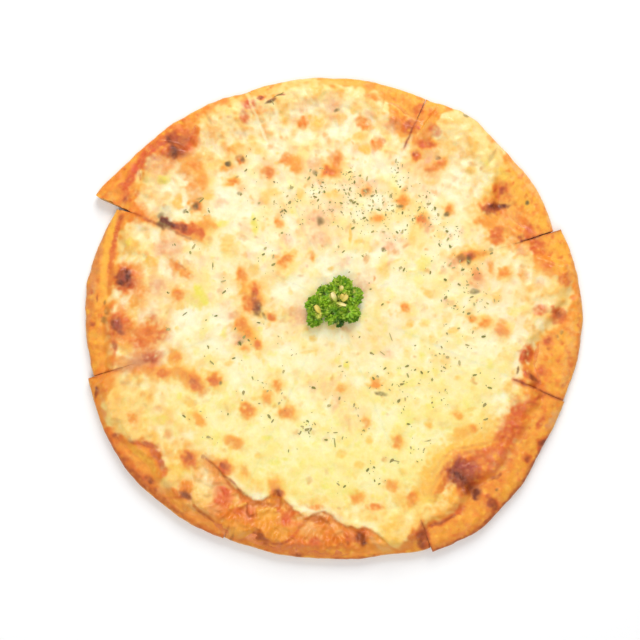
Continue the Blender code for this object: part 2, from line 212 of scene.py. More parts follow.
PAINTS = {
    "cream": paint(255, 247, 208), "butter": paint(252, 227, 138), "lemon": paint(240, 224, 92),
    "straw": paint(249, 196, 88), "bright": paint(254, 186, 62), "gold": paint(250, 162, 50),
    "orange": paint(240, 134, 42), "rust": paint(214, 88, 36), "red": paint(216, 72, 40),
    "brown": paint(148, 64, 34), "dark": paint(84, 32, 22), "plum": paint(172, 76, 64),
    "rosy": paint(236, 164, 118), "peach": paint(250, 204, 144), "pink": paint(238, 126, 84),
    "tan": paint(222, 150, 92), "bread": paint(234, 188, 136), "olive": paint(116, 96, 50),
    "grey": paint(196, 182, 146), "amber": paint(208, 120, 48)}


def glaze(ground, colour, amount):
    """Cover a ground with a colour by an amount from 0 to 1."""
    amount = np.clip(amount, 0.0, 1.0)[..., None]
    return ground * (1.0 - amount) + colour * amount


FLOOR_LIGHT = 0.89


def linear(colour):
    """Screen colours as the light values that a shader works with, for a floor that reads as white."""
    return FLOOR_LIGHT * np.where(colour < 0.04045, colour / 12.92, ((colour + 0.055) / 1.055) ** 2.4)


broad = 0.55 * WAVE_30 + 0.6 * WAVE_16 + 0.35 * WAVE_9
near_side = ease((20.0 - GRID_Y) / 120.0)
rosy_side = ease((70.0 - GRID_X + 0.9 * GRID_Y) / 230.0)
sheet = np.ones(GRID_X.shape + (3,)) * paint(253, 236, 174)
sheet = glaze(sheet, PAINTS["butter"], 0.20 + 0.26 * broad + 0.20 * near_side + 0.10 * shred_tint)
patches = 0.30 * np.roll(broad, 150, 0) - 0.06 + 0.16 * WAVE_9
sheet = glaze(sheet, PAINTS["peach"], patches * (0.35 + 0.9 * rosy_side))
sheet = glaze(sheet, PAINTS["rosy"], (0.34 * np.roll(WAVE_16, 77, 1) + 0.16 * WAVE_5 - 0.16) * rosy_side)
sheet = glaze(sheet, PAINTS["cream"], 0.34 - 0.34 * broad + 0.22 * shred_height + 0.12 * WAVE_5)
sheet = glaze(sheet, PAINTS["straw"], np.clip(0.22 * WAVE_5 + 0.10 * WAVE_9 - 0.22, 0, 0.5))
wet = near_side * ease((122.0 - RADIUS) / 14.0)
patches = 0.24 * np.roll(WAVE_5, 50, 0) + 0.2 * np.roll(WAVE_9, 90, 1) - 0.14
sheet = glaze(sheet, PAINTS["lemon"], np.clip(patches, 0, 0.4) * wet)
patches = 0.3 * np.roll(WAVE_16, 90, 1) + 0.2 * np.roll(WAVE_5, 120, 0) - 0.1
sheet = glaze(sheet, PAINTS["cream"], np.clip(patches, 0, 0.5) * wet)
print("ground:", np.round(255 * sheet[RADIUS < 110].mean(0)))

# %% [markdown]
# A mark is a soft oval with a slightly ragged edge: its paint, its place, its half widths, its turn in
# degrees and how strong it is. Marks near the rim are placed by their direction and distance from the
# middle instead, because the eye follows them round the edge.

# %% Brushes
roast = np.zeros_like(GRID_X)
bubble = np.zeros_like(GRID_X)
ALL = (slice(None), slice(None))
ROASTED = {"rust": 0.35, "red": 0.3, "brown": 0.9, "dark": 1.0, "plum": 1.0, "orange": 0.12}


def window(x, y, size):
    """The part of the sheet within a distance of a place."""
    i0, i1 = np.searchsorted(SHEET_X, (x - size, x + size))
    j0, j1 = np.searchsorted(SHEET_Y, (y - size, y + size))
    return slice(j0, j1), slice(i0, i1)


def oval(x, y, wide, tall, turn, soft, ragged):
    """A soft ragged oval and the part of the sheet that it covers."""
    box = window(x, y, (1.0 + 0.6 * soft) * max(wide, tall) + 3.0)
    least = min(wide, tall) ** 0.8
    dx = GRID_X[box] - x + ragged * least * RAGGED_X[box]
    dy = GRID_Y[box] - y + ragged * least * RAGGED_Y[box]
    c, s = math.cos(math.radians(turn)), math.sin(math.radians(turn))
    away = np.hypot((dx * c + dy * s) / wide, (dy * c - dx * s) / tall)
    return box, ease((1.0 + soft / 2.0 - away) / soft)


def cover(colour, box, shape, amount):
    """Paint a shape, a little stronger and weaker from place to place."""
    laid = np.clip(amount * shape * (1.0 + 0.16 * WAVE_5[box] + 0.10 * WAVE_2[box]), 0, 1)
    sheet[box] += (PAINTS[colour] - sheet[box]) * laid[..., None]
    if colour in ROASTED:
        roast[box] = np.maximum(roast[box], laid * ROASTED[colour])
    elif colour in ("cream", "butter"):
        roast[box] *= 1.0 - laid


def dab(colour, x, y, wide, tall, turn, amount, soft=1.0, ragged=0.22):
    """Lay one soft oval of a paint."""
    box, shape = oval(x, y, wide, tall, turn, soft, ragged)
    cover(colour, box, shape, amount)


def dabs(colour, rows, soft=1.0, ragged=0.22):
    """Lay a list of ovals: place, half widths, turn if there is one, strength."""
    for x, y, wide, tall, *turn, amount in rows:
        dab(colour, x, y, wide, tall, turn[0] if turn else 0.0, amount, soft, ragged)


def rims(colour, rows, soft=0.9, ragged=0.22):
    """Lay ovals near the rim: direction, distance, half widths along and across it, lean, strength."""
    for way, far, wide, tall, *lean, amount in rows:
        turn = math.radians(way)
        x, y = far * math.cos(turn), far * math.sin(turn)
        dab(colour, x, y, wide, tall, way + 90.0 + (lean[0] if lean else 0.0), amount, soft, ragged)


def polar_line(points):
    """Distance and half width of a line round the rim, and where it runs, for the whole sheet."""
    points = np.array(sorted(points), float)
    way = (ANGLE - points[0, 0] + 20.0) % 360.0 + points[0, 0] - 20.0
    inside = (way - points[0, 0] + 1.5) / 3.0, (points[-1, 0] + 1.5 - way) / 3.0
    far = np.interp(way, points[:, 0], points[:, 1])
    half = np.interp(way, points[:, 0], points[:, 2])
    return far, half, ease(inside[0]) * ease(inside[1])


def arc(colour, points, amount=0.7, soft=1.0, ragged=0.5):
    """Lay a soft band round the rim through points: direction, distance, half width."""
    far, half, shown = polar_line(points)
    off = np.abs(RADIUS - far + ragged * RAGGED_X) / half
    cover(colour, ALL, ease((1.0 + soft / 2.0 - off) / soft) * shown, amount)


def soft_line(points, half, soft=1.0, ragged=0.35):
    """A soft line through places and the part of the sheet that it covers."""
    points = np.array(points, float)
    middle, size = points.mean(0), np.ptp(points, axis=0).max() * 0.6 + 3.0 * half + 4.0
    box = window(middle[0], middle[1], size)
    x = GRID_X[box] + ragged * half * RAGGED_X[box]
    y = GRID_Y[box] + ragged * half * RAGGED_Y[box]
    near = np.full(x.shape, 1e9)
    for (ax, ay), (bx, by) in zip(points[:-1], points[1:]):
        run = np.clip(((x - ax) * (bx - ax) + (y - ay) * (by - ay)) / ((bx - ax) ** 2 + (by - ay) ** 2), 0, 1)
        near = np.minimum(near, np.hypot(x - ax - run * (bx - ax), y - ay - run * (by - ay)))
    return box, ease((1.0 + soft / 2.0 - near / half) / soft)


def stroke(colour, points, half, amount=0.7, soft=1.0, ragged=0.35):
    """Lay a soft line of a paint."""
    box, shape = soft_line(points, half, soft, ragged)
    cover(colour, box, shape, amount)


def ridge(points, half, height):
    """Raise a fold of the cheese along a line, or sink a groove."""
    box, shape = soft_line(points, half, 1.5, 0.2)
    bubble[box] = bubble[box] + height * shape


def lump(x, y, wide, tall, turn, height, ragged=0.12):
    """Raise a rounded lump on the cheese, its height in millimetres."""
    box, shape = oval(x, y, wide, tall, turn, 1.3, ragged)
    bubble[box] = bubble[box] + height * shape


def rim_lump(way, far, wide, tall, lean, height):
    """Raise a rounded lump near the rim."""
    turn = math.radians(way)
    lump(far * math.cos(turn), far * math.sin(turn), wide, tall, way + 90.0 + lean, height)


print("paints:", len(PAINTS))

# %% [markdown]
# The broad colours come first. Inside, large soft places are creamier, yellower or pinker. Outside,
# the cheese turns to gold and orange where it is thin over the rim, and the line where that happens
# wanders in and out.

# %% Broad places inside
dabs("peach", (
    (-92, 92, 20, 8, 35, .45), (-82, 82, 6, 13, 10, .6), (-94, 52, 11, 7, .5), (-60, 110, 24, 9, 20, .3),
    (-10, 90, 10, 8, .5), (2, 96, 5, 9, .5), (-8, 56, 12, 10, .5), (-30, 72, 9, 5, .3), (-90, 22, 13, 12, .35),
    (-102, 12, 7, 12, .45), (-58, -3, 9, 11, .55), (-50, 20, 12, 16, .3), (-22, 4, 9, 10, .45),
    (-34, -6, 10, 9, .2), (-2, -40, 14, 8, -15, .7), (14, -58, 7, 11, 20, .5), (3, -22, 12, 8, .25),
    (24, -12, 18, 9, .3), (40, 0, 16, 6, .2), (22, 22, 12, 8, .35), (20, 82, 13, 6, .5), (34, 46, 9, 6, .35),
    (58, 100, 17, 13, .55), (54, 80, 8, 7, .4), (-5, 68, 14, 8, .35), (87, 28, 9, 10, .5), (76, 38, 10, 6, .5),
    (99, 16, 9, 9, .3), (104, -3, 10, 8, .45), (-96, -28, 14, 9, .4), (70, -24, 8, 10, .2),
    (-104, 40, 8, 8, .4), (-70, -90, 10, 7, .3), (96, 50, 12, 10, .4),
    (88, 80, 12, 7, .2)), soft=1.4, ragged=0.5)
dabs("butter", (
    (-76, 16, 10, 12, .4), (60, 28, 18, 13, .3), (50, -48, 32, 20, .3), (82, -40, 16, 20, .4),
    (12, -86, 46, 16, .5), (56, -92, 20, 14, 30, .6), (-60, -68, 24, 12, -20, .4), (-92, -54, 18, 10, -20, .6),
    (-44, -94, 20, 8, -25, .6), (-8, -104, 26, 8, .5), (30, -112, 24, 9, 5, .5), (84, -64, 16, 12, 30, .6),
    (92, 90, 14, 8, -30, .3), (56, 52, 12, 8, .3), (12, 54, 7, 12, .3), (-66, 44, 9, 9, .4),
    (-46, 60, 6, 11, .3), (-38, 76, 9, 6, .3), (-120, 44, 12, 9, .5), (-118, -52, 14, 12, .4),
    (-140, -62, 6, 9, .5), (-112, 24, 6, 12, .3), (98, -30, 10, 10, .3)), soft=1.4, ragged=0.5)
dabs("cream", (
    (-99, 82, 12, 11, 20, .85), (-72, 66, 9, 10, .6), (-60, 72, 11, 9, .5), (-46, 46, 9, 9, .6),
    (-72, 4, 11, 10, .6), (-80, -12, 12, 9, .5), (-52, 90, 12, 9, .4), (-30, 86, 11, 6, .4),
    (30, 90, 10, 7, .6), (28, 72, 8, 5, .6), (15, 36, 10, 7, .5), (40, 22, 11, 9, .6), (78, 92, 14, 8, -20, .5),
    (74, 78, 12, 9, .5), (82, 64, 10, 8, .3), (66, 44, 9, 8, .3), (98, 4, 9, 6, .5), (84, -20, 13, 9, .5),
    (60, -4, 10, 6, .3), (20, -28, 13, 7, .5), (34, -56, 12, 6, .5), (-18, -26, 12, 7, .3),
    (-56, -36, 12, 8, .5), (-38, -20, 12, 8, .4), (-34, -66, 12, 7, .4), (-14, -74, 13, 6, .4),
    (-70, -62, 8, 5, .4), (66, -72, 9, 6, .4), (48, -78, 12, 6, .4), (24, -96, 13, 6, .4), (-6, 30, 14, 9, .4),
    (-20, 116, 12, 7, .3), (8, 116, 9, 6, .4), (92, 112, 10, 12, 30, .4), (-34, 14, 9, 7, .4),
    (-108, 50, 7, 6, .4), (-114, -66, 12, 6, -30, .4), (104, 34, 7, 5, .4),
    (112, -8, 8, 6, .4)), soft=1.3, ragged=0.5)
chooser = random.Random(5)


def freckles(count, widest, sizes, stretch, border, near, beyond, amounts):
    """Scatter small soft marks, in one set of paints nearer than the border and another beyond it."""
    for _ in range(count):
        far, way = widest * math.sqrt(chooser.random()), chooser.uniform(0, math.tau)
        x, y = far * math.cos(way), far * math.sin(way)
        size = chooser.uniform(*sizes)
        kind = chooser.choice(near if y < border else beyond)
        dab(kind, x, y, size * stretch, size, chooser.uniform(0, 180), chooser.uniform(*amounts), 1.4, 0.5)


freckles(620, 144.0, (0.7, 2.6), 1.5, 10,
         ("lemon", "straw", "lemon"), ("straw", "lemon", "rosy", "peach"), (0.12, 0.38))
freckles(420, 140.0, (0.6, 1.9), 1.4, 0,
         ("straw", "amber", "lemon"), ("amber", "tan", "straw", "orange"), (0.14, 0.4))
print("inside:", np.round(255 * sheet[RADIUS < 100].mean(0)))

# %% The gold over the rim
GOLD_STARTS = (
    (0, 140), (4, 145), (8, 148), (10, 141), (12, 133), (15, 129), (20, 128), (22, 125), (26, 119), (30, 116),
    (34, 115), (38, 122), (40, 132), (42, 139), (44, 147), (46, 154), (60, 154), (61.5, 146), (63, 130),
    (66, 122), (70, 121), (74, 127), (76, 138), (79, 141), (84, 143), (90, 144), (95, 149), (101, 153),
    (104, 143), (110, 144), (113, 150), (116, 147), (120, 149), (124, 146), (127, 137), (134, 138), (137, 149),
    (141, 150), (146, 146), (149, 140), (151, 130), (154, 136), (157, 140), (161, 140), (165, 136), (168, 134),
    (172, 137), (176, 136), (184, 137), (189, 138), (193, 137), (197, 138), (200, 150), (204, 152), (208, 149),
    (211, 142), (214, 134), (219, 134), (222, 139), (225, 144), (228, 140), (231, 138), (234, 143), (239, 140),
    (243, 138), (247, 143), (250, 138), (255, 139), (259, 140), (262, 142), (266, 136), (270, 129), (276, 129),
    (280, 139), (284, 147), (287, 144), (290, 138), (294, 134.5), (298, 136), (302, 136), (305, 133),
    (307, 124), (309, 115), (312, 113), (316, 118), (320, 119), (325, 119), (330, 122), (334, 122), (338, 128),
    (342, 122), (346, 119), (350, 121), (355, 129), (358, 136), (360, 140))
start = np.array(GOLD_STARTS, float)
past_start = RADIUS - np.interp(ANGLE, start[:, 0], start[:, 1]) + 1.0 * RAGGED_X + 0.8 * WAVE_9
cover("straw", ALL, ease((past_start + 7.0) / 9.0), 0.45)
cover("gold", ALL, ease((past_start + 2.5) / 5.0), 0.92)
cover("orange", ALL, np.exp(-((past_start - 1.5) / 2.6) ** 2) * np.clip(0.6 + 0.5 * WAVE_9, 0, 1), 0.5)
cover("bright", ALL, ease((past_start - 4.0) / 4.0) * np.clip(0.45 + 0.5 * WAVE_16 + 0.2 * WAVE_5, 0, 1), 0.7)
patches = np.clip(0.34 + 0.30 * WAVE_16 + 0.28 * WAVE_9 + 0.12 * WAVE_5, 0, 1)
cover("gold", ALL, ease((RADIUS - 96.0) / 42.0) * patches, 0.42)
patches = np.clip(0.30 * WAVE_9 + 0.26 * WAVE_5 + 0.12 * WAVE_16 - 0.05, 0, 1)
cover("orange", ALL, ease((past_start + 2.0) / 5.0) * patches, 0.75)
print("gold laid")

# %% The thin place at the near side, below the thick edge of the cheese
LIP = np.array((
    (214, 112), (222, 113), (226, 113), (230, 113.5), (235, 114.5), (240, 117.5), (245, 119.5), (248, 118),
    (250, 114), (252, 108.5), (254, 112), (257, 115.5), (260, 118.5), (263, 119.5), (265, 117.5),
    (266.5, 115.5), (269, 118), (271, 121), (273, 124), (276, 126), (280, 128.5), (282, 132), (284, 139),
    (286, 146), (292, 152), (300, 158)), float)
past_lip = RADIUS - np.interp(ANGLE, LIP[:, 0], LIP[:, 1]) + 0.4 * RAGGED_X
beside = ease((ANGLE - 225.0) / 6.0) * ease((289.0 - ANGLE) / 4.0)
thin = ease((past_lip + 0.8) / 1.8) * beside
cover("orange", ALL, thin * np.clip(0.7 + 0.3 * WAVE_9, 0, 1), 0.62)
cover("straw", ALL, thin * np.clip(0.45 * np.roll(WAVE_9, 60, 1) + 0.2 * WAVE_5, 0, 1), 0.7)
cover("rust", ALL, thin * np.clip(0.5 * np.roll(WAVE_9, 90, 0) + 0.25 * WAVE_5 - 0.1, 0, 1), 0.5)
cover("pink", ALL, thin * np.clip(0.4 * np.roll(WAVE_16, 40, 0) - 0.1, 0, 1), 0.5)
cover("cream", ALL, np.exp(-((past_lip + 3.4) / 2.2) ** 2) * beside, 0.45)
cover("straw", ALL, np.exp(-((past_lip + 8.0) / 2.6) ** 2) * beside * np.clip(0.5 + 0.5 * WAVE_9, 0, 1), 0.5)
# The rust and brown bands just past the thick edge are painted shadow under it.
cover("rust", ALL, np.exp(-((past_lip - 0.9) / 1.9) ** 2) * beside, 0.5)
cover("brown", ALL, np.exp(-((past_lip - 0.3) / 0.8) ** 2) * beside * np.clip(0.4 + 0.4 * WAVE_16, 0, 1), 0.42)
print("thin place laid")

# %% [markdown]
# Then the rim is painted anticlockwise seen from above, from the right-hand side round the far side to
# the left, the near side and back: the smooth golden tube of crust, the red places where sauce boiled up,
# and the blisters, each with a warm glow around it.

# %% The rim, right and far side
arc("tan", ((-12, 151, 3), (0, 152, 3), (16, 151, 1.5)), .6)
arc("bright", ((9, 142, 3), (15, 143, 6), (21, 143, 6)), .75)
arc("peach", ((22, 146, 2.5), (30, 147, 3), (43, 146, 2)), .6)
arc("bright", ((23, 139, 4), (30, 139.5, 4.5), (36, 138.5, 4.5), (41, 140, 3)), .85)
arc("orange", ((22, 130, 4), (27, 127, 6), (33, 124, 7), (38, 128, 5)), .6)
arc("bright", ((62, 146, 4), (70, 145, 3.5), (80, 146, 3), (92, 147, 2)), .6)
arc("straw", ((103, 147, 3.5), (109, 147, 3.5)), .7)
rims("rust", (
    (1.5, 137, 5, 5, .8), (3, 126, 3.2, 4, .6), (10, 142, 4, 4, .6), (14.5, 135, 2, 3.4, .75),
    (19.5, 132, 5, 4.6, .8), (24, 130.5, 5.5, 4.4, .75), (37.5, 132, 5, 3.6, -15, .85),
    (35, 121.5, 6.5, 5, 15, .9), (26.5, 110, 4, 3, 10, .55), (28.5, 115.5, 2.6, 2.2, .6), (63, 124, 4.5, 4, .7),
    (62, 131, 3.6, 3, .5), (63.5, 113, 3.4, 3, .65), (67.5, 131, 4.5, 6, .8), (71, 126, 7.5, 4.2, 8, .75),
    (68, 138, 2.6, 4, .7), (65.5, 121, 3, 3, .6), (75, 114, 3, 2, .4), (90, 91, 4.8, 3.2, .75),
    (89, 98, 3, 4, .45), (106, 103, 4, 3, .5), (113.5, 99, 3.2, 3.2, .45), (111.5, 141.5, 4.2, 3.2, -40, .85),
    (108, 142.5, 2.6, 1.6, .6), (113.5, 135, 2.6, 4, .6)))
rims("orange", (
    (28, 144, 4.5, 3, .6), (30, 112.5, 8, 3.4, .65), (23, 120, 4, 5, .5), (16, 133, 7, 4, .5),
    (13.5, 119, 4, 3, .4), (16, 107.5, 3.2, 2.6, .5), (48.5, 148.5, 4, 3.4, 30, .7), (43, 97.5, 3.6, 3, .5),
    (64, 140, 3, 6, .5), (79.5, 138, 5, 2.4, .7), (81, 146, 3.4, 4, .5), (81, 121.5, 4.8, 3.4, -20, .75),
    (76, 110.5, 4, 3.4, -30, .7), (98.7, 121.5, 3.8, 3.5, .85), (117, 151, 4.4, 3.6, .7),
    (121, 150, 3.6, 3, .5), (109.5, 135, 5, 3, .5), (103.5, 98, 4.6, 4, 40, .55), (125, 150, 5, 3, .6)))
rims("straw", (
    (82, 113, 3.6, 2.6, .7), (79.5, 106, 4, 3.2, .9), (94.5, 121, 3.6, 3.4, .8), (84.5, 128, 2, 2, .6),
    (95, 145, 2, 5, .6), (103, 128, 3, 6, .5), (120, 121, 4, 2.2, .7), (114, 120, 2.6, 4, .5),
    (114, 113, 2.4, 2, .5), (124.5, 115, 4.4, 3, .7), (126, 105, 4, 2.4, .8), (127, 128, 3, 3, .4),
    (7, 134, 5, 10, .2), (52, 138, 8, 6, .35), (57, 128, 5, 5, .3), (91, 146, 5, 2, .4)))
rims("rosy", (
    (30.5, 124, 7, 6, .6), (20.5, 123, 3, 4, .6), (19, 101, 5, 2, .5), (58, 112, 8, 7, .5), (73, 123, 6, 4, .5),
    (90, 131, 5, 7, .45), (98, 131, 4, 4, .4), (97, 96, 6, 4, .45), (80, 128, 3, 2, .5), (113.5, 99, 5, 5, .5),
    (89, 98, 4, 5, .5), (62, 118, 6, 5, .5)), soft=1.3)
rims("brown", (
    (34.5, 122, 4.6, 2.8, 35, .85), (36.5, 119, 3, 2, .6), (1.2, 137.5, 2.6, 3, .5),
    (67.6, 130.5, 1.8, 2.6, .6), (108.2, 142.5, 2.2, 1.2, .8), (105.8, 139, 3.2, 1.2, 8, .8),
    (103, 140.8, 2.6, .6, -10, .8), (120, 114, 2, 2.2, .7), (57, 118, 1.8, 1.2, 20, .6), (24, 125, 1.6, 2, .5)))
rims("olive", (
    (43, 95, 1.6, 1.2, 20, .7), (31.2, 138.5, 1.2, 1.1, .8), (39, 139.5, 1, .9, .6), (24, 105, 1.4, 1.2, .6),
    (89, 128, 1.8, .9, 30, .6), (57, 150, 2, 1.2, .5), (123.8, 115, 1.8, 1.5, .7), (119.5, 113, 1, 1.4, .6),
    (124, 105, 1.6, .8, .6), (106, 138.6, 3, .8, 8, .8)))
print("right and far side painted")

# %% The rim, left side
arc("orange", ((126, 148, 6), (132, 149, 8), (137, 155, 6), (146, 156, 6), (151, 152, 6)), .5)
arc("gold", ((134, 158, 2.5), (142, 158, 4), (150, 157, 5)), .75)
arc("red", ((133, 151, 2.4), (138, 153, 2.8), (144, 151.5, 2.6), (149, 149, 2)), .65)
arc("tan", ((156, 151, 2), (162, 150.5, 3), (170, 150, 4.5), (178, 151, 4)), .8)
arc("bright", (
    (152.5, 147.5, 2.4), (156, 147, 2.6), (160, 145.5, 2.6), (164, 143.5, 2.6), (168, 142.2, 2.6),
    (172, 141, 2.6), (175.5, 140.6, 2.4)), .95, .9)
arc("bright", ((180, 146, 3), (185, 145, 6), (192, 144, 5)), .75)
arc("rust", ((154, 143.5, 1.6), (160, 141.8, 1.3), (164, 140, 1.6), (168, 137.5, 2.4), (172, 137, 1.5)), .75)
arc("rust", ((176, 135, 2), (181, 136, 3), (187, 134.5, 2.4), (192, 136, 1.5)), .5)
rims("orange", (
    (130, 143, 9, 9, .6), (136, 139, 6, 5, .5), (134, 128, 6, 5, .5), (151, 138, 6, 9, .65),
    (151, 124, 3.4, 6, .5), (147, 99, 5.6, 4.6, 20, .85), (142, 98.5, 3.6, 2.8, .7), (135, 118.5, 6, 3, 10, .6),
    (168.5, 128, 9, 9, .8), (171, 117, 3.4, 5, .5), (181.5, 129, 10, 8, .8), (186, 126, 5, 4, .5),
    (184, 114, 6, 7.5, .85), (193, 99, 4.6, 3.6, .85), (194, 115, 5, 4, .7), (165, 126, 3, 6, .4),
    (170, 97, 5, 2, .45), (161, 102, 2.6, 4.4, -35, .5), (149, 107, 4, 5, .5)))
rims("rust", (
    (132, 144, 7, 8, .75), (136, 156, 4, 2.6, .65), (147.5, 153, 2.6, 2, -30, .7),
    (149.5, 146.5, 4.4, 3.2, .85), (147, 143, 2, 3, .5), (154.5, 144, 3.6, 2.6, .8),
    (165.5, 140, 4.6, 1.6, .75), (165.5, 149, 5, 1.5, .5), (169, 129, 7.4, 6.4, .8),
    (181.5, 130.5, 7.4, 6, 20, .8), (186.5, 133, 3.4, 2, .6), (183.5, 112, 2.4, 4, .75),
    (186.5, 109, 2, 1.4, .6), (181.5, 107.5, 3, 1, .5), (180.8, 148, 2.6, 4.4, .7), (146.5, 99.5, 3, 2.4, .5),
    (193.5, 125, 3, 4.4, .5), (194, 114, 2.6, 2, .5), (148.5, 111, 2.4, 4, .6), (171, 139, 1.6, 2, .4)))
rims("rosy", (
    (138.5, 143, 6, 6, .75), (157.5, 114, 4, 3.6, .5), (169, 109, 5, 5, .5), (191, 121, 5, 7, .55),
    (161, 101, 4, 5, -35, .55), (180, 117, 5, 4, .3), (138, 112, 5, 3, .4), (186, 100, 8, 3, .3)), soft=1.3)
rims("straw", (
    (160, 131, 6, 4, .55), (162, 116, 3.2, 3.4, .7), (175, 121, 4.4, 2.8, .85), (178.5, 121.5, 4, 3, .5),
    (142.5, 119.5, 3.8, 2, 10, .7), (188, 127, 4, 4, .6), (197.5, 143, 6, 6, .6), (165, 115, 2, 2, .4),
    (203, 134, 4, 8, .3), (151, 155, 3, 3, .5)))
rims("lemon", ((140.5, 135, 2.6, 2.6, .55), (159, 132.5, 2.6, 2.2, .5), (173, 146, 3, 1.2, .2)))
rims("brown", (
    (132.2, 143.5, 4.6, 4.4, 40, .85), (131, 149, 3, 3, .7), (133, 141.5, 2.6, 2.4, .7),
    (149.8, 146.5, 2.4, 1.8, .6), (168.6, 129.5, 5.4, 4.6, .9), (181.5, 131, 4.8, 3.8, 20, .75),
    (186.5, 133.3, 2.6, 1.4, .5), (180.8, 148, 1.5, 3.4, .7), (183.5, 111.5, 1.4, 2.4, .4),
    (154.3, 143.8, 1.8, 1.4, .5), (174.5, 144, 2.4, .6, 5, .6), (177, 151.5, 2, 1, .6)))
rims("dark", (
    (133.2, 141.8, 2.2, 2.6, 30, .6), (131.3, 148.4, 1.5, 2, .5), (167.6, 127, 3, 1.6, 10, .6),
    (169.8, 131, 1.8, 2.2, .5), (181, 133.2, 3, 1.2, 15, .4), (183.4, 128.6, 1.6, 2, .3)))
rims("plum", (
    (131.6, 146, 2.2, 1.8, .5), (181.2, 130.4, 3, 2.2, 20, .7), (168.4, 129.6, 2, 1.6, .45),
    (138, 148, 2, 3, .2)))
rims("olive", (
    (150.6, 119, 2.8, 3.6, 10, .95), (149, 122, 2.6, 1.6, 40, .8), (149.6, 114.5, 2.2, 3, .7),
    (140.5, 110, 3.6, 1.4, .6), (180, 138.8, 2.2, 1.8, .75), (177.5, 137.5, 2.6, 1.6, .7),
    (175.5, 139, 1.6, .7, .6), (137.6, 110, 2.6, .6, -35, .7), (143.8, 112, 1.4, 1, .6)))
dab("rust", -94, 108, 11.5, 9, 35, .75)
dab("brown", -96, 107, 5.4, 6.8, 30, .6)
dab("rust", -90, 113, 6, 3.6, 15, .6)
dab("brown", -92, 110, 5, 2.6, 10, .45)
dab("plum", -93, 111, 3, 2, 20, .3)
stroke("dark", ((-101, 112), (-98, 108), (-97, 102)), 1.1, .55)
dab("dark", -96.5, 101.5, 2.4, 3.2, 0, .65)
rims("grey", ((147.6, 121.5, 5, 4.4, .4), (177.6, 138.3, 1.2, .9, .6), (180.6, 137.6, .9, .8, .5)))
rims("rosy", ((192.2, 121, 6, 12, .6), (190.4, 113, 5, 5, .5)), soft=1.4)
rims("tan", ((192.2, 124, 5, 10, 6, .6), (190.6, 113, 4, 5, .5)), soft=1.4)
rims("plum", ((192.6, 124, 2.6, 6, 10, .25), (191.2, 115, 2.6, 4.4, .3)), soft=1.4)
stroke("rust", ((-108, -27), (-99, -31.5), (-86, -36.5), (-79, -42.5)), 2.6, .5, 1.3)
stroke("brown", ((-104, -29), (-97, -32.5), (-88, -36)), 1.2, .3, 1.3)
rims("grey", ((196, 131, 4, 3, .35),))
dabs("orange", (
    (-118, -9, 9, 5, .6), (-106, -5, 6, 5, .6), (-112, -16, 8, 4, 20, .5), (-119, 12, 5, 4, .4),
    (-113, -30, 7, 3, 10, .4)), soft=1.3)
dabs("rust", (
    (-108, -22, 5, 3, 20, .55), (-104, -9, 3, 4, .4), (-118, -14, 5, 3, .5), (-110, 2, 3, 3, .4)), soft=1.2)
dabs("brown", ((-111, -24, 4, 1.8, 10, .4), (-103, -33, 3, 2, .3)), soft=1.2)
arc("tan", (
    (156, 151, 2.5), (163, 150.5, 3.4), (170, 150, 4.4), (177, 150, 4), (183, 151.5, 2.6),
    (192, 150.5, 1.6)), .85)
arc("orange", ((126, 154, 3), (132, 156, 3), (138, 159, 3), (146, 160, 3.4), (152, 161, 3)), .6)
print("left side painted")

# %% The rim, near side
arc("gold", ((195.5, 151, 3), (199, 153.5, 2.5), (206, 153.5, 3), (212, 151, 4)), .6)
arc("rust", ((205, 152.5, 2), (212, 151.5, 3), (219, 150, 3), (224, 148, 2)), .6)
# The brown band at the very outer edge is browned crust and painted shade on the near edge.
arc("brown", (
    (206, 155.5, 1.8), (212, 155, 2.6), (218, 153, 2.4), (223, 150.5, 2), (232, 149, 1.7),
    (243, 147.5, 1.6)), .7)
arc("gold", (
    (210.5, 147.5, 3), (213, 143, 4.2), (215.5, 140.2, 4.6), (218.5, 140.2, 4.4), (221.5, 141.5, 3)), 1.0, .7)
# A narrow bright arc along the crest of the bulge is a painted highlight.
arc("bright", ((212.5, 144.5, 2), (215.5, 141, 2.4), (219, 140.6, 2)), .5)
arc("brown", (
    (210.8, 142.5, 1.4), (213, 136.5, 2), (215, 133.6, 2.4), (218, 133.8, 1.5), (221.8, 136, 2)), .8, .9)
arc("rust", (
    (210.3, 143, 2.4), (213, 135.5, 3.4), (215, 132.5, 3.6), (218, 133, 2.6), (222, 136, 2.6)), .4, 1.2)
arc("gold", ((226, 145, 2.5), (234, 145, 3.5), (241, 144.5, 3)), .6)
arc("brown", ((233, 141.6, .8), (238, 141.4, .8)), .5)
rims("peach", ((233, 130, 11, 10, 20, .7), (282.5, 140, 4, 6, -40, .5)), soft=1.1)
rims("cream", ((230, 127, 7, 8, 20, .6), (203, 145, 6, 6, .3), (203, 136, 9, 8, .4)), soft=1.1)
rims("bread", (
    (225, 143.5, 3, 4.6, .85), (231.5, 136, 3, 5, 20, .3), (336, 146.5, 7, 3.4, .85), (341, 146, 2, 3, .4)))
rims("butter", ((254.5, 134, 8, 5, .6), (247, 139, 5, 5, .5), (283, 133, 6, 7, -40, .5)))
rims("straw", (
    (255, 131.5, 8, 5.5, .6), (243, 135, 4, 6, .6), (286, 129.5, 6.4, 3, .85), (213.5, 129, 4, 2.6, .6),
    (240, 107, 4.6, 2.4, .55), (251, 105.5, 4.6, 3.6, .8), (265, 109.5, 4.4, 3.2, .5), (298.5, 124, 2.4, 3, .7),
    (290, 115, 3.4, 3.4, .6), (224, 121, 7, 6.5, .7), (209, 131, 3, 3, .4)))
rims("pink", (
    (239, 128, 5, 8, 10, .85), (246.5, 127, 4.2, 3.6, .6), (256.5, 140, 5.5, 2.6, .7),
    (265.5, 134, 4, 3, 20, .7), (266, 142, 5, 3, .6), (236.5, 124, 4, 3, .5), (258, 124, 4, 5, .4),
    (273, 128.5, 4, 3.4, .4)))
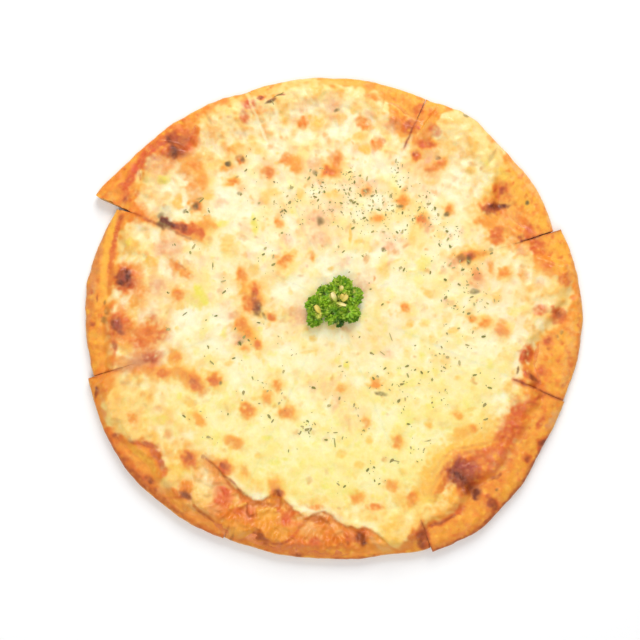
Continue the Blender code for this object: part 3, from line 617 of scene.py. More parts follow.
rims("orange", (
    (241.5, 133, 4, 5, .6), (228, 133.5, 3.6, 3.6, .75), (256, 125, 5, 3.6, .65), (206, 135, 4, 3, .8),
    (216.5, 101, 4.6, 2.4, .8), (231, 95, 5.4, 3.8, 10, .85), (274, 141, 9, 3.4, .6), (287.5, 144, 5, 4, .6),
    (293.5, 118.5, 4.8, 3.4, 15, .75), (289.5, 106, 4.2, 3.2, .7), (282.5, 115.5, 5.4, 2, -20, .75),
    (278, 108, 4, 3.4, .6), (268, 130, 3, 8, 20, .5), (261, 128, 2.4, 8, .5), (210, 100, 5, 2, .35),
    (229, 112, 5, 3, .3)))
rims("rust", (
    (223.8, 121, 4.4, 4.2, 20, .85), (233, 110.5, 6, 3.4, 10, .85), (221, 147, 5, 3, .6),
    (208.5, 148.5, 4.4, 3, 20, .7), (252, 112.5, 3.4, 6, 10, .75), (252, 137.5, 6.4, 3.4, .75),
    (277, 131, 7, 4.4, .6), (229.8, 137.5, 5, 3.4, 15, .7), (244, 128, 3, 5, .5), (248.5, 126, 3, 5, .5),
    (266.3, 121, 5, 2.2, .7), (271, 143, 3, 2, .5), (288.5, 142, 3, 3, .6), (239, 148, 6, 1.4, .4),
    (260, 143, 4, 3, .5), (282, 150, 4, 1.5, .5)))
rims("brown", (
    (229.8, 138, 3.6, 2.2, 10, .9), (251.6, 137.2, 3.8, 1.8, -8, .9), (252.3, 109, 2.6, 2.6, .7),
    (221, 147, 3.6, 2, .8), (208.2, 149, 2.4, 2, .8), (233, 109, 3, 1.6, .3), (254, 115, 1.5, 3, 20, .4),
    (276.5, 131.5, 5, 2.8, .7), (223.6, 120.5, 2, 1.8, .45), (244.2, 127, 1.4, 3.4, .5), (248, 127, 1.2, 3, .4),
    (197, 150, 3.6, 1.2, -35, .8), (266, 121.3, 4, 1, 5, .5)))
rims("dark", (
    (229.8, 138, 2.4, 1.4, 10, .8), (251.3, 137.3, 2.6, 1.2, -8, .7), (277.3, 132.5, 2.8, 2.4, .95),
    (221, 147, 2.6, 1.4, .9), (273.6, 133.6, 1.6, 1.6, .5), (196.6, 150.2, 2.6, .8, -35, .8),
    (244.9, 146, .8, 2.2, .7)))
cover("gold", ALL, thin * ease((ANGLE - 236.0) / 8.0), 0.4)
dabs("bright", ((-42, -119, 7, 5, .8), (-35, -128, 8, 4.4, 10, .85), (-52, -127, 5, 3, .7)))
dabs("straw", (
    (-42, -118, 4, 3, .6), (-33, -128, 5, 2.6, 10, .6), (-62, -127, 5, 4, .7), (-78, -102, 6, 8, .5),
    (35, -133, 7, 4, -10, .8), (-20, -119, 3, 2, 20, .5)))
dabs("peach", (
    (-78, -101, 6, 8, .75), (-79, -110, 5, 5, .5), (-15, -127, 4.5, 4, .85), (-8, -131, 2.4, 2.2, .7),
    (-72, -113, 4, 4, .5), (-56, -131, 1.8, 4, -20, .6), (4, -128, 2, 2.6, .6), (-32.5, -119, 1.2, 4, 10, .5)))
dabs("butter", ((-80, -104, 6, 8.6, 10, .75), (-90, -112, 4, 3, -30, .5), (-66, -128, 3.4, 3, .7)), soft=1.2)
dabs("cream", (
    (-78, -98, 5, 5, .8), (-82, -108, 4.6, 4.6, .8), (-75.4, -105, 2, 4, 20, .4),
    (-64, -129, 1.6, 2.6, -20, .6)), soft=1.2)
dabs("pink", (
    (-66, -107, 5.4, 5.4, .8), (-50, -114, 3, 4.2, .8), (-51, -120.5, 3, 2.4, .6), (-32, -137, 6, 3, -10, .75),
    (-22, -136, 5, 4.4, .7), (-12, -135, 5, 4, .6), (10, -130, 4.4, 3.4, .5), (-29, -120, 3.4, 3.4, .5)))
dabs("rosy", (
    (-71, -103, 2.6, 2.6, .6), (-72, -113, 3.4, 3.4, .5), (22, -129, 2.6, 2.6, .6), (11, -129, 1.6, 1.6, .6),
    (-49, -112, 1.6, 2.4, .5), (-31, -136, 3, 1.2, .5), (-1, -125, 2, 3, .4)))
dabs("orange", (
    (-64, -117.5, 6.4, 2.6, 5, .8), (-89, -101, 4.4, 3.2, .8), (-3, -129, 4, 8, .55), (12, -139, 8, 4, .5),
    (-8, -141, 4, 2.4, .5), (-10, -113, 4.4, 1.8, .6), (45, -137, 4, 3, .6), (-86, -121, 4, 2.4, -35, .6),
    (-24, -129.5, 3, 3, .4), (26, -139, 4, 2, -20, .4)))
dabs("red", (
    (-65, -104, 2.2, 3.6, 20, .55), (-68, -109, 3, 2.6, .5), (-11, -133, 2.6, 2.6, .6), (-57, -115.5, 3, 2, .5),
    (-28, -120.5, 2.6, 2.6, .5), (-27, -138, 4, 2.4, .45), (-18, -140.5, 4, 2, 10, .5), (2, -134, 2, 4, .35)))
dabs("amber", (
    (-50, -132.5, 7.4, 2.8, 12, .85), (-9, -120, 5.4, 2.6, .8), (-76, -124.5, 5, 2.6, -35, .6),
    (20.5, -141, 1.8, 2.2, .6), (-45, -137, 7, 1.8, -12, .6), (-68, -129, 4, 3, -30, .5),
    (48, -130, 2, 4, -35, .5)))
dabs("rust", (
    (-33.4, -111.5, 1.8, 3.8, 5, .75), (-25, -117, 3, 2, 30, .5), (8.6, -133.4, 1.8, 3, .75),
    (18, -128, 3, 2.4, .5)))
for colour, half, strong, places in (
        ("amber", 1.5, .8, ((-51, -110.4), (-43, -111.6), (-36, -112), (-31, -111))),
        ("rust", 1, .7, ((-44, -131), (-38, -134.4), (-31, -134.8), (-25.4, -131.6), (-21, -127))),
        ("brown", .6, .5, ((-38, -134.6), (-31, -135), (-26, -132.2))),
        ("brown", 2.2, .8, ((-45.6, -128), (-43.6, -130.5), (-41.4, -133.6))),
        ("brown", .9, .7, ((-52.4, -111), (-52.2, -114.6), (-51, -118.4), (-48.6, -118))),
        ("amber", 1, .85, ((-84, -111.6), (-80, -115.4), (-75, -119), (-71, -122), (-68, -126), (-66.6, -131))),
        ("brown", .6, .6, ((-81, -115), (-76, -118.6), (-72, -121.6))),
        ("amber", 1, .8, ((-20.4, -125), (-17, -121), (-13, -118.6), (-8, -117.8), (-4.6, -120.4), (-2.4, -124))),
        ("peach", .9, .7, ((-21, -119.6), (-14.6, -117.2), (-8, -116.9), (-3.4, -118.6))),
        # The two straw strokes along the tops of the folds are painted highlights.
        ("straw", .8, .9, ((-62, -112.6), (-57, -112.2), (-53, -110.6))),
        ("straw", 1.1, .8, ((-45, -114.6), (-40, -113.8), (-35, -114.4))),
        ("peach", 1.2, .85, ((23.4, -131), (24.6, -134.6), (28, -137.2), (34, -139.6))),
        ("amber", .8, .7, ((57, -123.6), (50, -126.8), (46.4, -130), (43.4, -134))),
        ("brown", 1, .6, ((2, -144.4), (10, -145), (18, -144.4), (25, -142.6))),
        ("rust", .8, .6, ((-100, -107.2), (-95, -107.4), (-91, -106.6)))):
    stroke(colour, places, half, strong, 1.1)
dabs("brown", (
    (-89, -105.6, 4, 2.6, -10, .8), (17, -131.4, 3.6, 3.6, .8), (-21.4, -142, 3.2, 2, .8),
    (54.4, -131.6, 3.8, 6.6, 8, .8)))
dabs("dark", (
    (-88.6, -106, 3, 1.9, -15, .9), (16.4, -131, 2.2, 2, .9), (18.2, -133.6, 1.8, 1.8, .8),
    (-43.4, -130.6, 1.4, 2.6, 35, .5), (57, -132.6, 1.6, 1.5, .8), (51.2, -132, .9, 4, .5),
    (8.6, -134.4, 1, 1.2, .5), (-21.6, -142.4, 1.8, 1.1, .5)))
dabs("olive", ((-61.4, -132, .9, 3, -15, .9), (-59.8, -127, .4, 2.4, -10, .4)))
dabs("plum", ((54, -129, 2, 2, .5), (54, -135, 2, 2, .4)))
for height, half, places in (
        (.7, 2, ((-20, -123), (-16, -119.6), (-9, -117), (-4, -119.4), (-1, -124))),
        (.6, 1.6, ((-45, -114.6), (-40, -113.4), (-34, -115))),
        (.7, 2.2, ((-44, -127), (-38, -131.6), (-31, -132.4), (-25, -129))),
        (.6, 1.4, ((-62, -112.6), (-57, -112), (-53, -110.6))),
        (.8, 2, ((-83, -108), (-80, -112.6), (-75, -116.6), (-70, -120))),
        (.6, 1.6, ((24, -132), (25.6, -135), (30, -137.4))),
        (-.5, 1.3, ((-51, -110.4), (-43, -111.8), (-35, -112.4))), (-.6, 1.5, ((-52, -112), (-51, -118.6))),
        (-.5, 1.6, ((-33.4, -108), (-33.4, -115))), (-.5, 2, ((-45.6, -128), (-42, -133.4))),
        (.4, 1.3, ((-58, -134), (-56, -128))), (-.4, 1.6, ((-9, -120.4), (-8, -122)))):
    ridge(places, half, height)
print("near left painted")

# %% The rim, near right side and the great blister
arc("tan", (
    (293, 151.5, 2.4), (299, 152.5, 2.8), (306, 152, 2.8), (313, 150.5, 2.4), (320, 149.5, 2),
    (333, 148.5, 1.6)), .7)
arc("amber", ((293, 153, 1.6), (304, 153.6, 1.8), (314, 152, 1.6), (324, 150, 1.6)), .5)
# The brown band at the very outer edge is browned crust and painted shade on the near edge.
arc("brown", ((293, 153.4, 1.5), (304, 155, 1.9), (314, 152.6, 1.7), (324, 150, 2), (332, 149.2, 2)), .75)
arc("bright", ((295, 145, 4), (303, 146, 5.5), (309, 146, 3)), .7)
arc("bright", ((312, 146, 4), (318, 145, 5), (323, 146, 3)), .75)
arc("bright", ((325, 143, 3.5), (329, 142, 3.5), (333, 139, 2.5)), .7)
arc("bright", (
    (331, 127, 2), (335, 131.5, 2.2), (339, 137.5, 2.2), (342, 140, 2.6), (346, 140, 4), (352, 138, 4.5),
    (357, 142, 3)), .75)
arc("peach", ((343, 146, 2.5), (351, 145, 3), (359, 145, 2.4)), .55)
arc("gold", ((340, 125, 3), (346, 125, 4), (352, 128, 4), (358, 133, 3)), .5)
FOLD = ((57, -104), (61, -96), (66, -87), (73, -80.5), (85, -77.5), (98, -75), (108, -69))
stroke("straw", [(x - 2.6, y + 2.6) for x, y in FOLD], 6.4, 0.8, 1.4)
stroke("bright", FOLD, 5.6, 0.9, 1.2)
stroke("gold", [(x + 2.0, y - 2.0) for x, y in FOLD], 3.0, 0.6, 1.1)
stroke("gold", [(x + 3.6, y - 3.6) for x, y in FOLD], 2.8, 0.9, 1.1)
stroke("amber", [(x - 1.6, y + 1.6) for x, y in FOLD[1:]], 0.9, 0.35, 1.5)
stroke("amber", [(x + 1.4, y - 1.4) for x, y in FOLD], 0.9, 0.4, 1.5)
stroke("rust", [(x + 4.6, y - 4.8) for x, y in FOLD[:6]], 1.4, 0.5, 1.4)
ridge([(x - 0.4, y + 0.4) for x, y in FOLD], 2.2, 0.45)
ridge([(x + 3.2, y - 3.2) for x, y in FOLD], 2.0, 0.5)
ridge([(x + 5.0, y - 5.2) for x, y in FOLD[1:5]], 1.8, -0.3)
dabs("orange", (
    (98, -86, 14, 9, 38, .8), (106, -74, 12, 7, 42, .7), (112, -60, 8, 7, 50, .7), (94, -100, 9, 7, 30, .6),
    (118, -52, 6, 6, .5)))
dabs("rust", (
    (104, -72, 5, 9, 20, .55), (108, -64, 6, 6, .5), (114, -56, 5, 6, 30, .5), (96, -82, 5, 4, 30, .4),
    (89, -80, 5, 3, 20, .4)))
arc("straw", ((295, 122, 3), (300, 118, 3), (304, 114, 2)), .5)
rims("pink", (
    (320, 131, 7, 6.5, .75), (317.5, 127, 4, 4, .5), (324, 133, 4, 4, .5), (329, 130, 4, 6, .4),
    (337, 127.5, 5, 3, 25, .5), (300, 150.5, 5, 1.8, .5), (342, 129, 2.5, 3, .3)))
rims("rosy", (
    (321, 133.5, 3.4, 2.8, .7), (317.6, 132, 2, 3, .5), (333.5, 145, 2.6, 2, .6), (304, 136, 5, 2, .5),
    (328, 120, 6, 2, .4)))
rims("rust", (
    (350, 119.5, 5.4, 4.4, .85), (346.5, 130.5, 4, 3.4, .65), (354.5, 131.5, 3, 3, .85),
    (344, 126, 3.2, 7, -25, .85), (339, 133.5, 5, 2.8, -25, .85), (334, 124, 3.4, 3, .6),
    (329, 129.5, 4.4, 6, .7), (334, 140, 5, 1.8, 5, .7), (315.5, 136, 3.4, 2, .75), (324.5, 144.5, 3, 3.2, .85),
    (329.5, 147, 4.6, 3, .75), (311, 147, 3.6, 5.4, .8), (292.5, 142.5, 4, 7, .75), (350, 147, 3.6, 2.2, .55),
    (361.5, 137, 4.6, 4.4, .8), (337, 120, 3, 3, .3), (341.5, 119, 2, 4, .4)))
rims("brown", (
    (344, 126, 1.7, 5.4, -25, .9), (311, 147, 2.2, 4, .8), (292.4, 142.5, 3, 6, .85),
    (324.4, 144.5, 1.8, 2.2, .75), (329.6, 147.2, 3, 2, .8), (350, 119, 2.4, 1.8, .35),
    (361.6, 137.3, 2.4, 2.2, .6), (352.6, 132, 1, 1, .6), (354.6, 131.5, 1.4, 1.4, .4),
    (315.4, 136, 1.8, 1, .6), (345, 116, 2, .7, .5), (339.4, 133.8, 2.4, 1.2, -25, .4)))
dabs("gold", (
    (68, -112, 9, 6, 35, .5), (75, -108, 4, 6, -10, .6), (62, -118, 6, 4, 20, .4),
    (72, -102, 3, 6, -20, .6)), soft=1.3)
dabs("bright", (
    (82, -118, 7, 4.4, 32, .7), (64, -128, 6, 5, 20, .7), (91, -88, 1.8, 5, .6), (76, -124, 6, 3, 30, .6),
    (100, -103, 4, 5, -40, .6)))
dabs("orange", (
    (91, -91, 3.4, 6, .8), (84, -127, 5, 2, 30, .5), (70, -131.6, 5, 2, 20, .5), (92, -116, 3, 5, -30, .4)))
dabs("rosy", (
    (75, -113.4, 3, 2.4, .7), (77.6, -108, 2, 3.4, 20, .5), (70, -117, 3, 1.4, 25, .5),
    (96.4, -81.6, 4, 2.4, 20, .5)))
dabs("pink", (
    (99, -89.6, 5, 4, 30, .7), (105, -83, 4.4, 4, 30, .6), (110, -74, 4, 4, 30, .5),
    (76, -115.6, 3, 1.4, 30, .6)))
# The small peach dabs on the pink places are painted highlights.
dabs("peach", (
    (102.6, -89.6, 2.4, 1.6, 20, .7), (107, -81.6, 2, 2.6, .6), (111, -73, 2.2, 1.6, .6),
    (97, -86.6, 1.6, 1.2, .5)))
stroke("rust", ((58, -124), (65, -122.4), (70, -119.6), (75.4, -116.4), (78.4, -112)), 1.6, .6)
stroke("brown", ((59, -124.2), (65, -122.8), (69, -120.4), (73, -118.6)), .8, .6)
stroke("brown", ((95, -95.4), (98, -95.8), (101.6, -93.4)), 1.0, .6)
dab("rust", 80.4, -92.6, 11.6, 9.4, -25, 0.85)
dab("rust", 83.6, -101.5, 5.4, 6, -30, 0.8)
dab("brown", 79.4, -92.8, 9.6, 7.6, -25, 0.85)
dab("brown", 81, -99.4, 5.4, 5, -40, 0.8)
dab("plum", 82, -88.8, 6.8, 4.2, -12, 0.9)
# A rosy dab on the plum dome is a painted highlight.
dab("rosy", 84.4, -86.6, 2.8, 1.2, -12, 0.45)
dab("dark", 86.4, -104.6, 3.2, 3.6, -20, 0.95)
stroke("brown", ((71, -92), (71.8, -88.8), (74.4, -86.2), (78.4, -84.8)), .8, .35, 1.5)
dab("brown", 77, -95, 6, 4, -38, .7)
dab("brown", 83.4, -99.4, 3.4, 5.4, -25, .6)
dabs("dark", (
    (75.4, -93.6, 3, 1.6, -38, .55), (79, -96.4, 3, 1.8, -30, .55), (83.6, -100.4, 1.8, 2.6, -20, .4)))
# Small rosy dabs on the dome are painted highlights.
dabs("rosy", ((79, -87.6, 1.4, .8, .4), (86, -90.4, 1.2, 1.6, .35), (81, -90.4, 1, 1, .3)))
dab("brown", 96, -110.6, 2.6, 5, 22, .75)
dab("dark", 97.4, -113, 1.6, 2, 0, .5)
dabs("orange", ((92.5, -97, 4, 3, 30, .7), (90, -108, 3, 3, .5), (100, -99, 3, 4, .4)))
dab("rust", 84.4, -98.6, 2.2, 1.8, 0, 0.5)
rims("dark", (
    (344, 126.5, 1, 3.4, -25, .5), (329.8, 147.6, 2, 1.2, .7), (291.6, 145, 1.6, 2.6, .6),
    (293, 139, 1.6, 2.4, .5)))
rims("plum", ((292.4, 142.6, 1.4, 2.2, .5),))
rims("olive", (
    (357, 139, 1.1, 1, .7), (355.8, 136.8, 1.1, 1, .8), (314, 142.5, 1, 1, .7), (345, 116, 2.4, .7, 5, .6)))
rims("straw", ((359, 118, 2.4, 2.4, .6), (339, 113.5, 4, 2, .6), (322.5, 95.5, 2.6, 2.6, .8)))
rims("gold", ((319, 103, 6.4, 3.8, -15, .9),))
rims("orange", ((321.5, 106, 3.6, 2.8, .8), (358, 102.5, 5, 3, 15, .45)))
print("near right painted")

# %% Toasted places inside, each a glow, a spot and sometimes a darker heart
SPOTS = (
    (-23.5, 95, 3.4, 5.2, 15, .6, 0), (-28, 98, 4.6, 3, 0, .45, .1), (-39, 90, 3.6, 4, 20, .45, .3),
    (-61, 84.5, 4.2, 2.2, 0, .75, 0), (-28, 37, 5.8, 3.2, 40, .75, .1), (-13, 39, 1.8, 3.4, 10, .6, .1),
    (-33, 60, 2.2, 4, 25, .5, 0), (-94, 16, 3.4, 4, 0, .6, .15), (-38, 2, 3.6, 2.6, -45, .85, .45),
    (-55, 27, 3.2, 5.6, 8, .8, .2), (-54, 20, 1.6, 4, 0, .5, 0), (-49, 12, 6, 7.6, 12, .8, .4),
    (-47, 19, 3, 5, 5, .8, .5), (-55, -3, 3.6, 5, 30, .8, .3), (-51, -8, 3.2, 4.4, 25, .75, .1),
    (-46, -14, 3.8, 2.6, -45, .85, .35), (-53, -17, 3, 2, 0, .5, 0), (-94.5, -22.5, 3.2, 3.6, 0, .8, 0),
    (-95, -30.5, 7, 3.6, 0, .8, .5), (-103, -32, 6, 3.4, 10, .7, .4), (-88, -34, 6, 3.6, -25, .8, .4),
    (-83, -38, 5, 6, 30, .85, .7), (-72, -36, 4.6, 4, -20, .9, .55), (-33.5, -39, 3.1, 4, 0, .7, 0),
    (-40, -47, 3.3, 3.1, 0, .75, 0), (-28, -55.6, 4.6, 4.3, 0, .92, .15), (-52, -54.2, 4.5, 4.6, 0, .92, .3),
    (-59.3, -74, 4.6, 3.6, 0, .8, .05), (-81, -60, 4.8, 3.2, -50, .65, 0), (-87, -84, 5.6, 6.2, 0, .75, .75),
    (-66, -88, 6.2, 4.6, -35, .85, .75), (-53, -91, 2.4, 4, 20, .5, 0), (-34, -103, 4.2, 4.8, 0, .85, .8),
    (-35, -98, 4, 3, 0, .5, 0), (-2, 91, 5, 3.4, -5, .9, .6), (2.4, 97, 2.8, 5, -10, .5, .2),
    (20, 79, 3.6, 2.4, 20, .4, .3), (42.3, 72.4, 3.6, 3.8, 0, .75, 0), (27.3, 62.5, 3.9, 2.6, 5, .75, 0),
    (54, 61.6, 3.8, 4.2, 0, .55, .45), (70, 67.6, 3, 3.4, 0, .65, .1), (43.6, 8, 2.7, 2.9, 0, .7, 0),
    (83, 39.6, 5.2, 3.6, 5, .95, .8), (77, 38, 4, 3, 0, .6, .5), (90.5, 41, 4.6, 1.8, 0, .6, 0),
    (87, 27, 3.6, 4.8, 5, .35, .35), (96.4, 33, 2, 4.4, -10, .45, 0), (103.6, 28.4, 3.8, 2.8, 10, .75, 0),
    (84, 1.4, 3, 2.6, 0, .7, 0), (92, -1.8, 4.2, 2.6, 30, .75, 0), (102, -5.4, 4.4, 3.4, -50, .5, .1),
    (26, -38.2, 4.3, 2.6, 0, .8, .05), (39, -73.6, 2.8, 3.6, 0, .85, .1), (75.6, -57.6, 3.4, 2.2, -30, .6, 0),
    (84.2, -65.6, 3.4, 2.6, 10, .85, .1), (35.6, -99.6, 4, 2.8, -20, .75, 0), (48, -106.6, 4.2, 3.6, 0, .75, 0),
    (14.4, -106.6, 4, 3, 0, .75, 0), (20, -61.6, 2.6, 4.2, 10, .45, .1), (5, -41, 2.6, 2.6, 0, .4, .1),
    (51, 101, 3.2, 4.4, -30, .8, .6), (61.4, 93, 7, 3.2, 20, .5, .3), (66, 96.6, 4, 2.4, 20, .5, .3),
    (57, 108, 8, 3.6, -10, .7, .65), (46, 118, 7, 4.6, 0, .7, .6), (97, 69, 8.5, 6, 5, .85, .8),
    (102.5, 79, 5.4, 6.4, -20, .85, .8), (94, 60, 8, 3.6, -10, .6, .1), (100, 52, 5.4, 6, 0, .7, .5),
    (-77, 59, 3.6, 2.4, 0, .75, .2), (-72.4, 58, 3, 1.8, -20, .5, 0), (-81, 54, 5, 4.8, -20, .85, .6),
    (-88, 55.6, 5.4, 3, -15, .65, .55), (-94, 33, 5.6, 2.8, -38, .5, .3), (-89, 28.4, 4, 2.8, -30, .45, .1),
    (-79, 86, 3, 8, 10, .55, 0), (-84, 95, 6, 4, -30, .55, .1), (-83, 70, 4.4, 4.6, 0, .6, .4),
    (-64.6, 93.6, 4, 2.8, 0, .4, 0), (-56, 97.6, 2.6, 2.6, 0, .5, .3), (-62, 103, 4, 2.8, 0, .4, 0))
for x, y, wide, tall, turn, strong, heart in SPOTS:
    dab("straw", x, y, 1.3 * wide + 1.2, 1.3 * tall + 1.2, turn, 0.6 * strong, 1.5, 0.3)
    dab("gold", x, y, 1.05 * wide, 1.05 * tall, turn, 0.8 * strong, 1.1, 0.3)
    dab("orange", x - 0.1, y - 0.2, 0.8 * wide, 0.8 * tall, turn, 0.85 * strong, 1.1, 0.3)
    if heart:
        dab("rust", x, y - 0.4, 0.66 * wide, 0.66 * tall, turn, heart, 1.1, 0.35)
    lump(x, y, wide + 0.5, tall + 0.5, turn, 0.22)
dabs("straw", (
    (-20, 77, 2.8, 2.8, .6), (0, 77, 4, 2.6, .7), (-37, 78, 6, 2.4, .5), (-41, 74, 2.6, 2.6, .5),
    (-76, 75, 2.6, 2.6, .7), (-93.6, 72, 1.6, 4.4, -5, .7), (-64, 46.6, 5, 5.2, .6), (-60.6, 41, 3, 3, .35),
    (-48, 31, 3.2, 3.4, .5), (-93, 9, 2.6, 3, .6), (-63, -26, 3.2, 1.6, 10, .6), (-87, -50, 3.4, 2.6, -30, .6),
    (-86.4, -58, 3.6, 3, .5), (-47, -97, 4.6, 1.8, -15, .6), (-45, -82, 2.8, 1.8, .6), (-47, -47, 4, 1.2, .5),
    (-45, -21, 2, 2.2, .6), (-12, -11, 2.6, 2.4, .6), (48, 49, 2.4, 4.6, .45), (66, 52, 4, 2.4, .5),
    (10.6, 52, 1, 5, .8), (15.5, 48, 2.6, 1.2, .6), (31, 31, 3.4, 4.6, .45), (57.6, 16.6, 4.6, 2, -35, .7),
    (84, 91, 3.2, 2.4, .5), (97, 91, 4.6, 1.8, .5), (99, 14, 2.8, 3, .5), (69, 2, 3.4, 4, .45),
    (57.6, -63, 2.4, 3.4, .9), (22, -72.6, 2.4, 2.2, .8), (5, -81, 3, 2.4, .85), (16, -87.6, 3.2, 2.2, .9),
    (42, -92, 2.8, 2.4, .7), (73, -6, 3, 1.9, .8), (46.6, -2.4, 2.4, 2.4, .8), (55, -2.4, 2.6, 2.2, .4),
    (24, -11, 3, 2.4, -30, .4), (60, -11, 1.8, 4, .4), (68, -26, 3.2, 3.4, .5), (75, -35, 2, 1.4, .6),
    (35, -33, 2.8, 1.8, .4), (83, -54, 3.4, 1.2, 15, .6), (91, -57, 2.4, 3, .4), (-15, -19, 4.6, .9, 8, .5),
    (78, -67.6, 5.2, 4.2, 20, .8), (96, -62, 4, 5, -20, .6), (90, -70, 7, 4, 25, .5), (63, -88, 3, 7, -30, .4),
    (58, -96, 2.6, 6, -25, .35), (19, -67, 2, 1.4, .6), (-1, 31, 2.6, 1.6, 30, .5), (-26, 17, 1.4, 1.6, .5)))
dabs("gold", (
    (78, -68, 3.8, 3, 20, .7), (-81, -60, 3.4, 2.2, -50, .5), (57.6, -63.4, 1.6, 2.4, .4),
    (95, 60, 5, 2.6, -10, .5)))
dabs("lemon", (
    (-81.6, 18, 3, 4.4, 25, .9), (-78, 13, 2.2, 4, 30, .85), (-84, 12, 6, 5, .35), (-101, 86, 2.2, 2.6, .6),
    (-68, 59, 3.6, 2, .6), (-48, 58, 2, 5.6, 8, .7), (55, 35, 4.4, 4.4, .4), (52, 24, 2.6, 6, 10, .3),
    (-40, -71, 2.8, 1.6, .75), (-36, -86, 4, 1.3, .6), (-29, -84, 2, 1.2, .5), (-9, -88, 2.6, 2, .4),
    (-4, -100, 3, 1.8, .55), (-93, -46, 1.6, 2, .6), (-44, -5, 1.5, 2, .5), (44, -58, 5.4, 5, .35),
    (46, -61, 2.4, 1.6, .4), (8, -27, 1.6, 2.8, .6), (95, -28, 2.6, 1.6, .4), (60, -108, 6, 3, 10, .4),
    (10, -104, 5, 2, .4), (-70, -72, 3, 4, .4), (104, 90, 3, 5, .5), (93, 95, 1.8, 2.4, .4),
    (-105, -60, 6, 3, .4), (-98, -68, 5, 3, .3), (47, -78, 3, 2, .4), (-92, -90, 8, 2, -20, .3)))
dabs("rosy", (
    (-8.6, 61.6, 5, 4.6, .5), (-8, 49, 6, 4, .4), (-28, 50, 3, 3, .3), (-20, 3, 6, 5, .5), (57.4, 57, 3, 3, .6),
    (18, 22, 5, 3.6, .3), (34, 45, 4, 2.6, 10, .5), (-57, -12, 4, 4, .5), (-61, 3, 4, 2.4, .5),
    (57.6, 98, 2, 2, .6), (88, 25, 4, 6, .4), (73, 35, 3, 3, .5), (101, -7, 4, 4, .3), (33, -20, 4, 2.4, .4),
    (-100, -69, 2.4, 3, .5), (24, 84, 4, 3, .3), (-98, 44, 5, 6, .4), (2, -50, 2.6, 5, -30, .4),
    (8, -62, 3, 4, .3)), soft=1.3)
dabs("olive", (
    (-8, 60.4, 2, 2.4, 30, .6), (-83.6, 69.6, 1.8, 2.4, .65), (-64, 95.2, 1.8, 1.5, .75),
    (-46, 7, 2.4, 3.6, -15, .65), (-42, 3, .8, 3, 20, .4), (30.4, 43, 1.3, 1.3, .8), (41, 69.4, 1.8, .9, .7),
    (69, 64.4, 1.6, 1.2, 20, .8), (77.4, 38, 3, 2, .5), (82.4, 36.6, 1.6, 2.4, .7),
    (86, 17.4, 2.8, 1.6, 10, .6), (-55, 98, 1.2, 1.6, .6), (-56, -13.4, 1.6, 1.2, .5),
    (29, -44.4, 3.4, 1.2, -12, .7), (20, 79, 1.6, 1.2, .5), (-57, 77.4, 1.4, 1, .5), (-68, -38, .9, 1.1, .6),
    (64, 98.6, 1.6, .8, 20, .6), (-11, 90, 1.6, 1.4, .5)))
print("inside painted, spots:", len(SPOTS))

# %% Dark hearts, browning and painted shade along the cuts, and the painted shadow line of the thick edge
dabs("brown", (
    (99.6, 69.4, 6.4, 2.4, .9), (95.6, 66.4, 4, 2.4, .5), (103.6, 79, 2, 3, .45), (83.6, 39, 2, 1.6, .4),
    (-87, -83, 2.2, 2.4, .45), (-66, -88, 2.8, 1.6, -35, .45), (-33.4, -104, 2.2, 2.4, .65),
    (-48, 14, 1.6, 3.6, 5, .35), (-46.6, 8, 2.4, 3, .5), (-85, -37, 2, 1.6, .25), (50, 101.6, 1.4, 2, -30, .4),
    (47, 119.4, 3, 3.4, .4)))
dabs("dark", ((104, 70, 4, 1.2, .7), (98, 69.6, 2.6, 1.2, .4)))
stroke("rust", ((-96, 57), (-88, 56), (-80, 53)), 2.6, .5)
stroke("brown", ((-104, 62), (-97, 57.4), (-90, 56)), 1.6, .75)
stroke("dark", ((-104, 61.6), (-100, 59), (-97, 57.6)), 1.2, .6)
# The brown stroke along the thick edge of the cheese is painted shadow.
stroke("brown", ((-79, -82), (-72, -87), (-66, -94), (-62, -96.4), (-57, -102), (-52, -106)), .7, .4)
stroke("brown", ((-93, 35), (-90, 31)), .8, .2)
# Along each cut a rust and a brown line are laid: the browned cut edge and painted shade in the cut.
for number, begins, ends, half, strong in (
        (0, 124, 150, .7, .7), (1, 114, 150, .55, .55), (2, 133, 150, .6, .04), (3, 100, 150, .9, .3),
        (4, 132, 156, 1, .55), (5, 139, 152, .6, .5), (6, 132, 156, .8, .6), (7, 116, 152, .7, .75)):
    turn = math.radians(CUT_ANGLES[number])
    along_cut = [reach(turn, far) for far in (begins, 0.5 * (begins + ends), ends)]
    line = [(CROSSING[0] + far * math.cos(turn), CROSSING[1] + far * math.sin(turn)) for far in along_cut]
    stroke("rust", line, 2.4 * half, 0.4 * strong, 1.4)
    stroke("brown", line, half, strong, 1.0)
stroke("cream", ((-53, 141), (-49.4, 130), (-44, 118), (-40, 108)), .8, .6)
pale = ease((sheet[..., 2] - 0.46) / 0.25) * ease((RADIUS - 128.0) / 9.0)
cover("straw", ALL, pale * (0.7 + 0.5 * near_side), 0.5)
near_rim = ease((RADIUS - 112.0) / 18.0) * (0.04 + 0.22 * ease((8.0 - GRID_Y) / 50.0))
browned = np.maximum(ease((past_start + 4.0) / 6.0), 0.9 * thin)
browned *= 1.0 - 0.9 * np.exp(-((GRID_X + 79.0) / 9.0) ** 2 - ((GRID_Y + 103.0) / 11.0) ** 2)
sheet = glaze(sheet, paint(216, 102, 8), near_rim * browned)
sheet = glaze(sheet, paint(252, 216, 92), near_rim * (1.0 - browned))
cheese_edge = np.zeros_like(ANGLE)
for number in range(8):
    part = ((ANGLE - CUT_ANGLES[number]) % 360.0) / (CUT_ANGLES[number + 1] - CUT_ANGLES[number])
    cheese_edge = np.where(part <= 1.0, along(CHEESE_RADII[number], part), cheese_edge)
sheet = glaze(sheet, paint(253, 192, 88), 0.42 * np.exp(-((RADIUS - cheese_edge) / 2.6) ** 2) * (1.0 - roast))
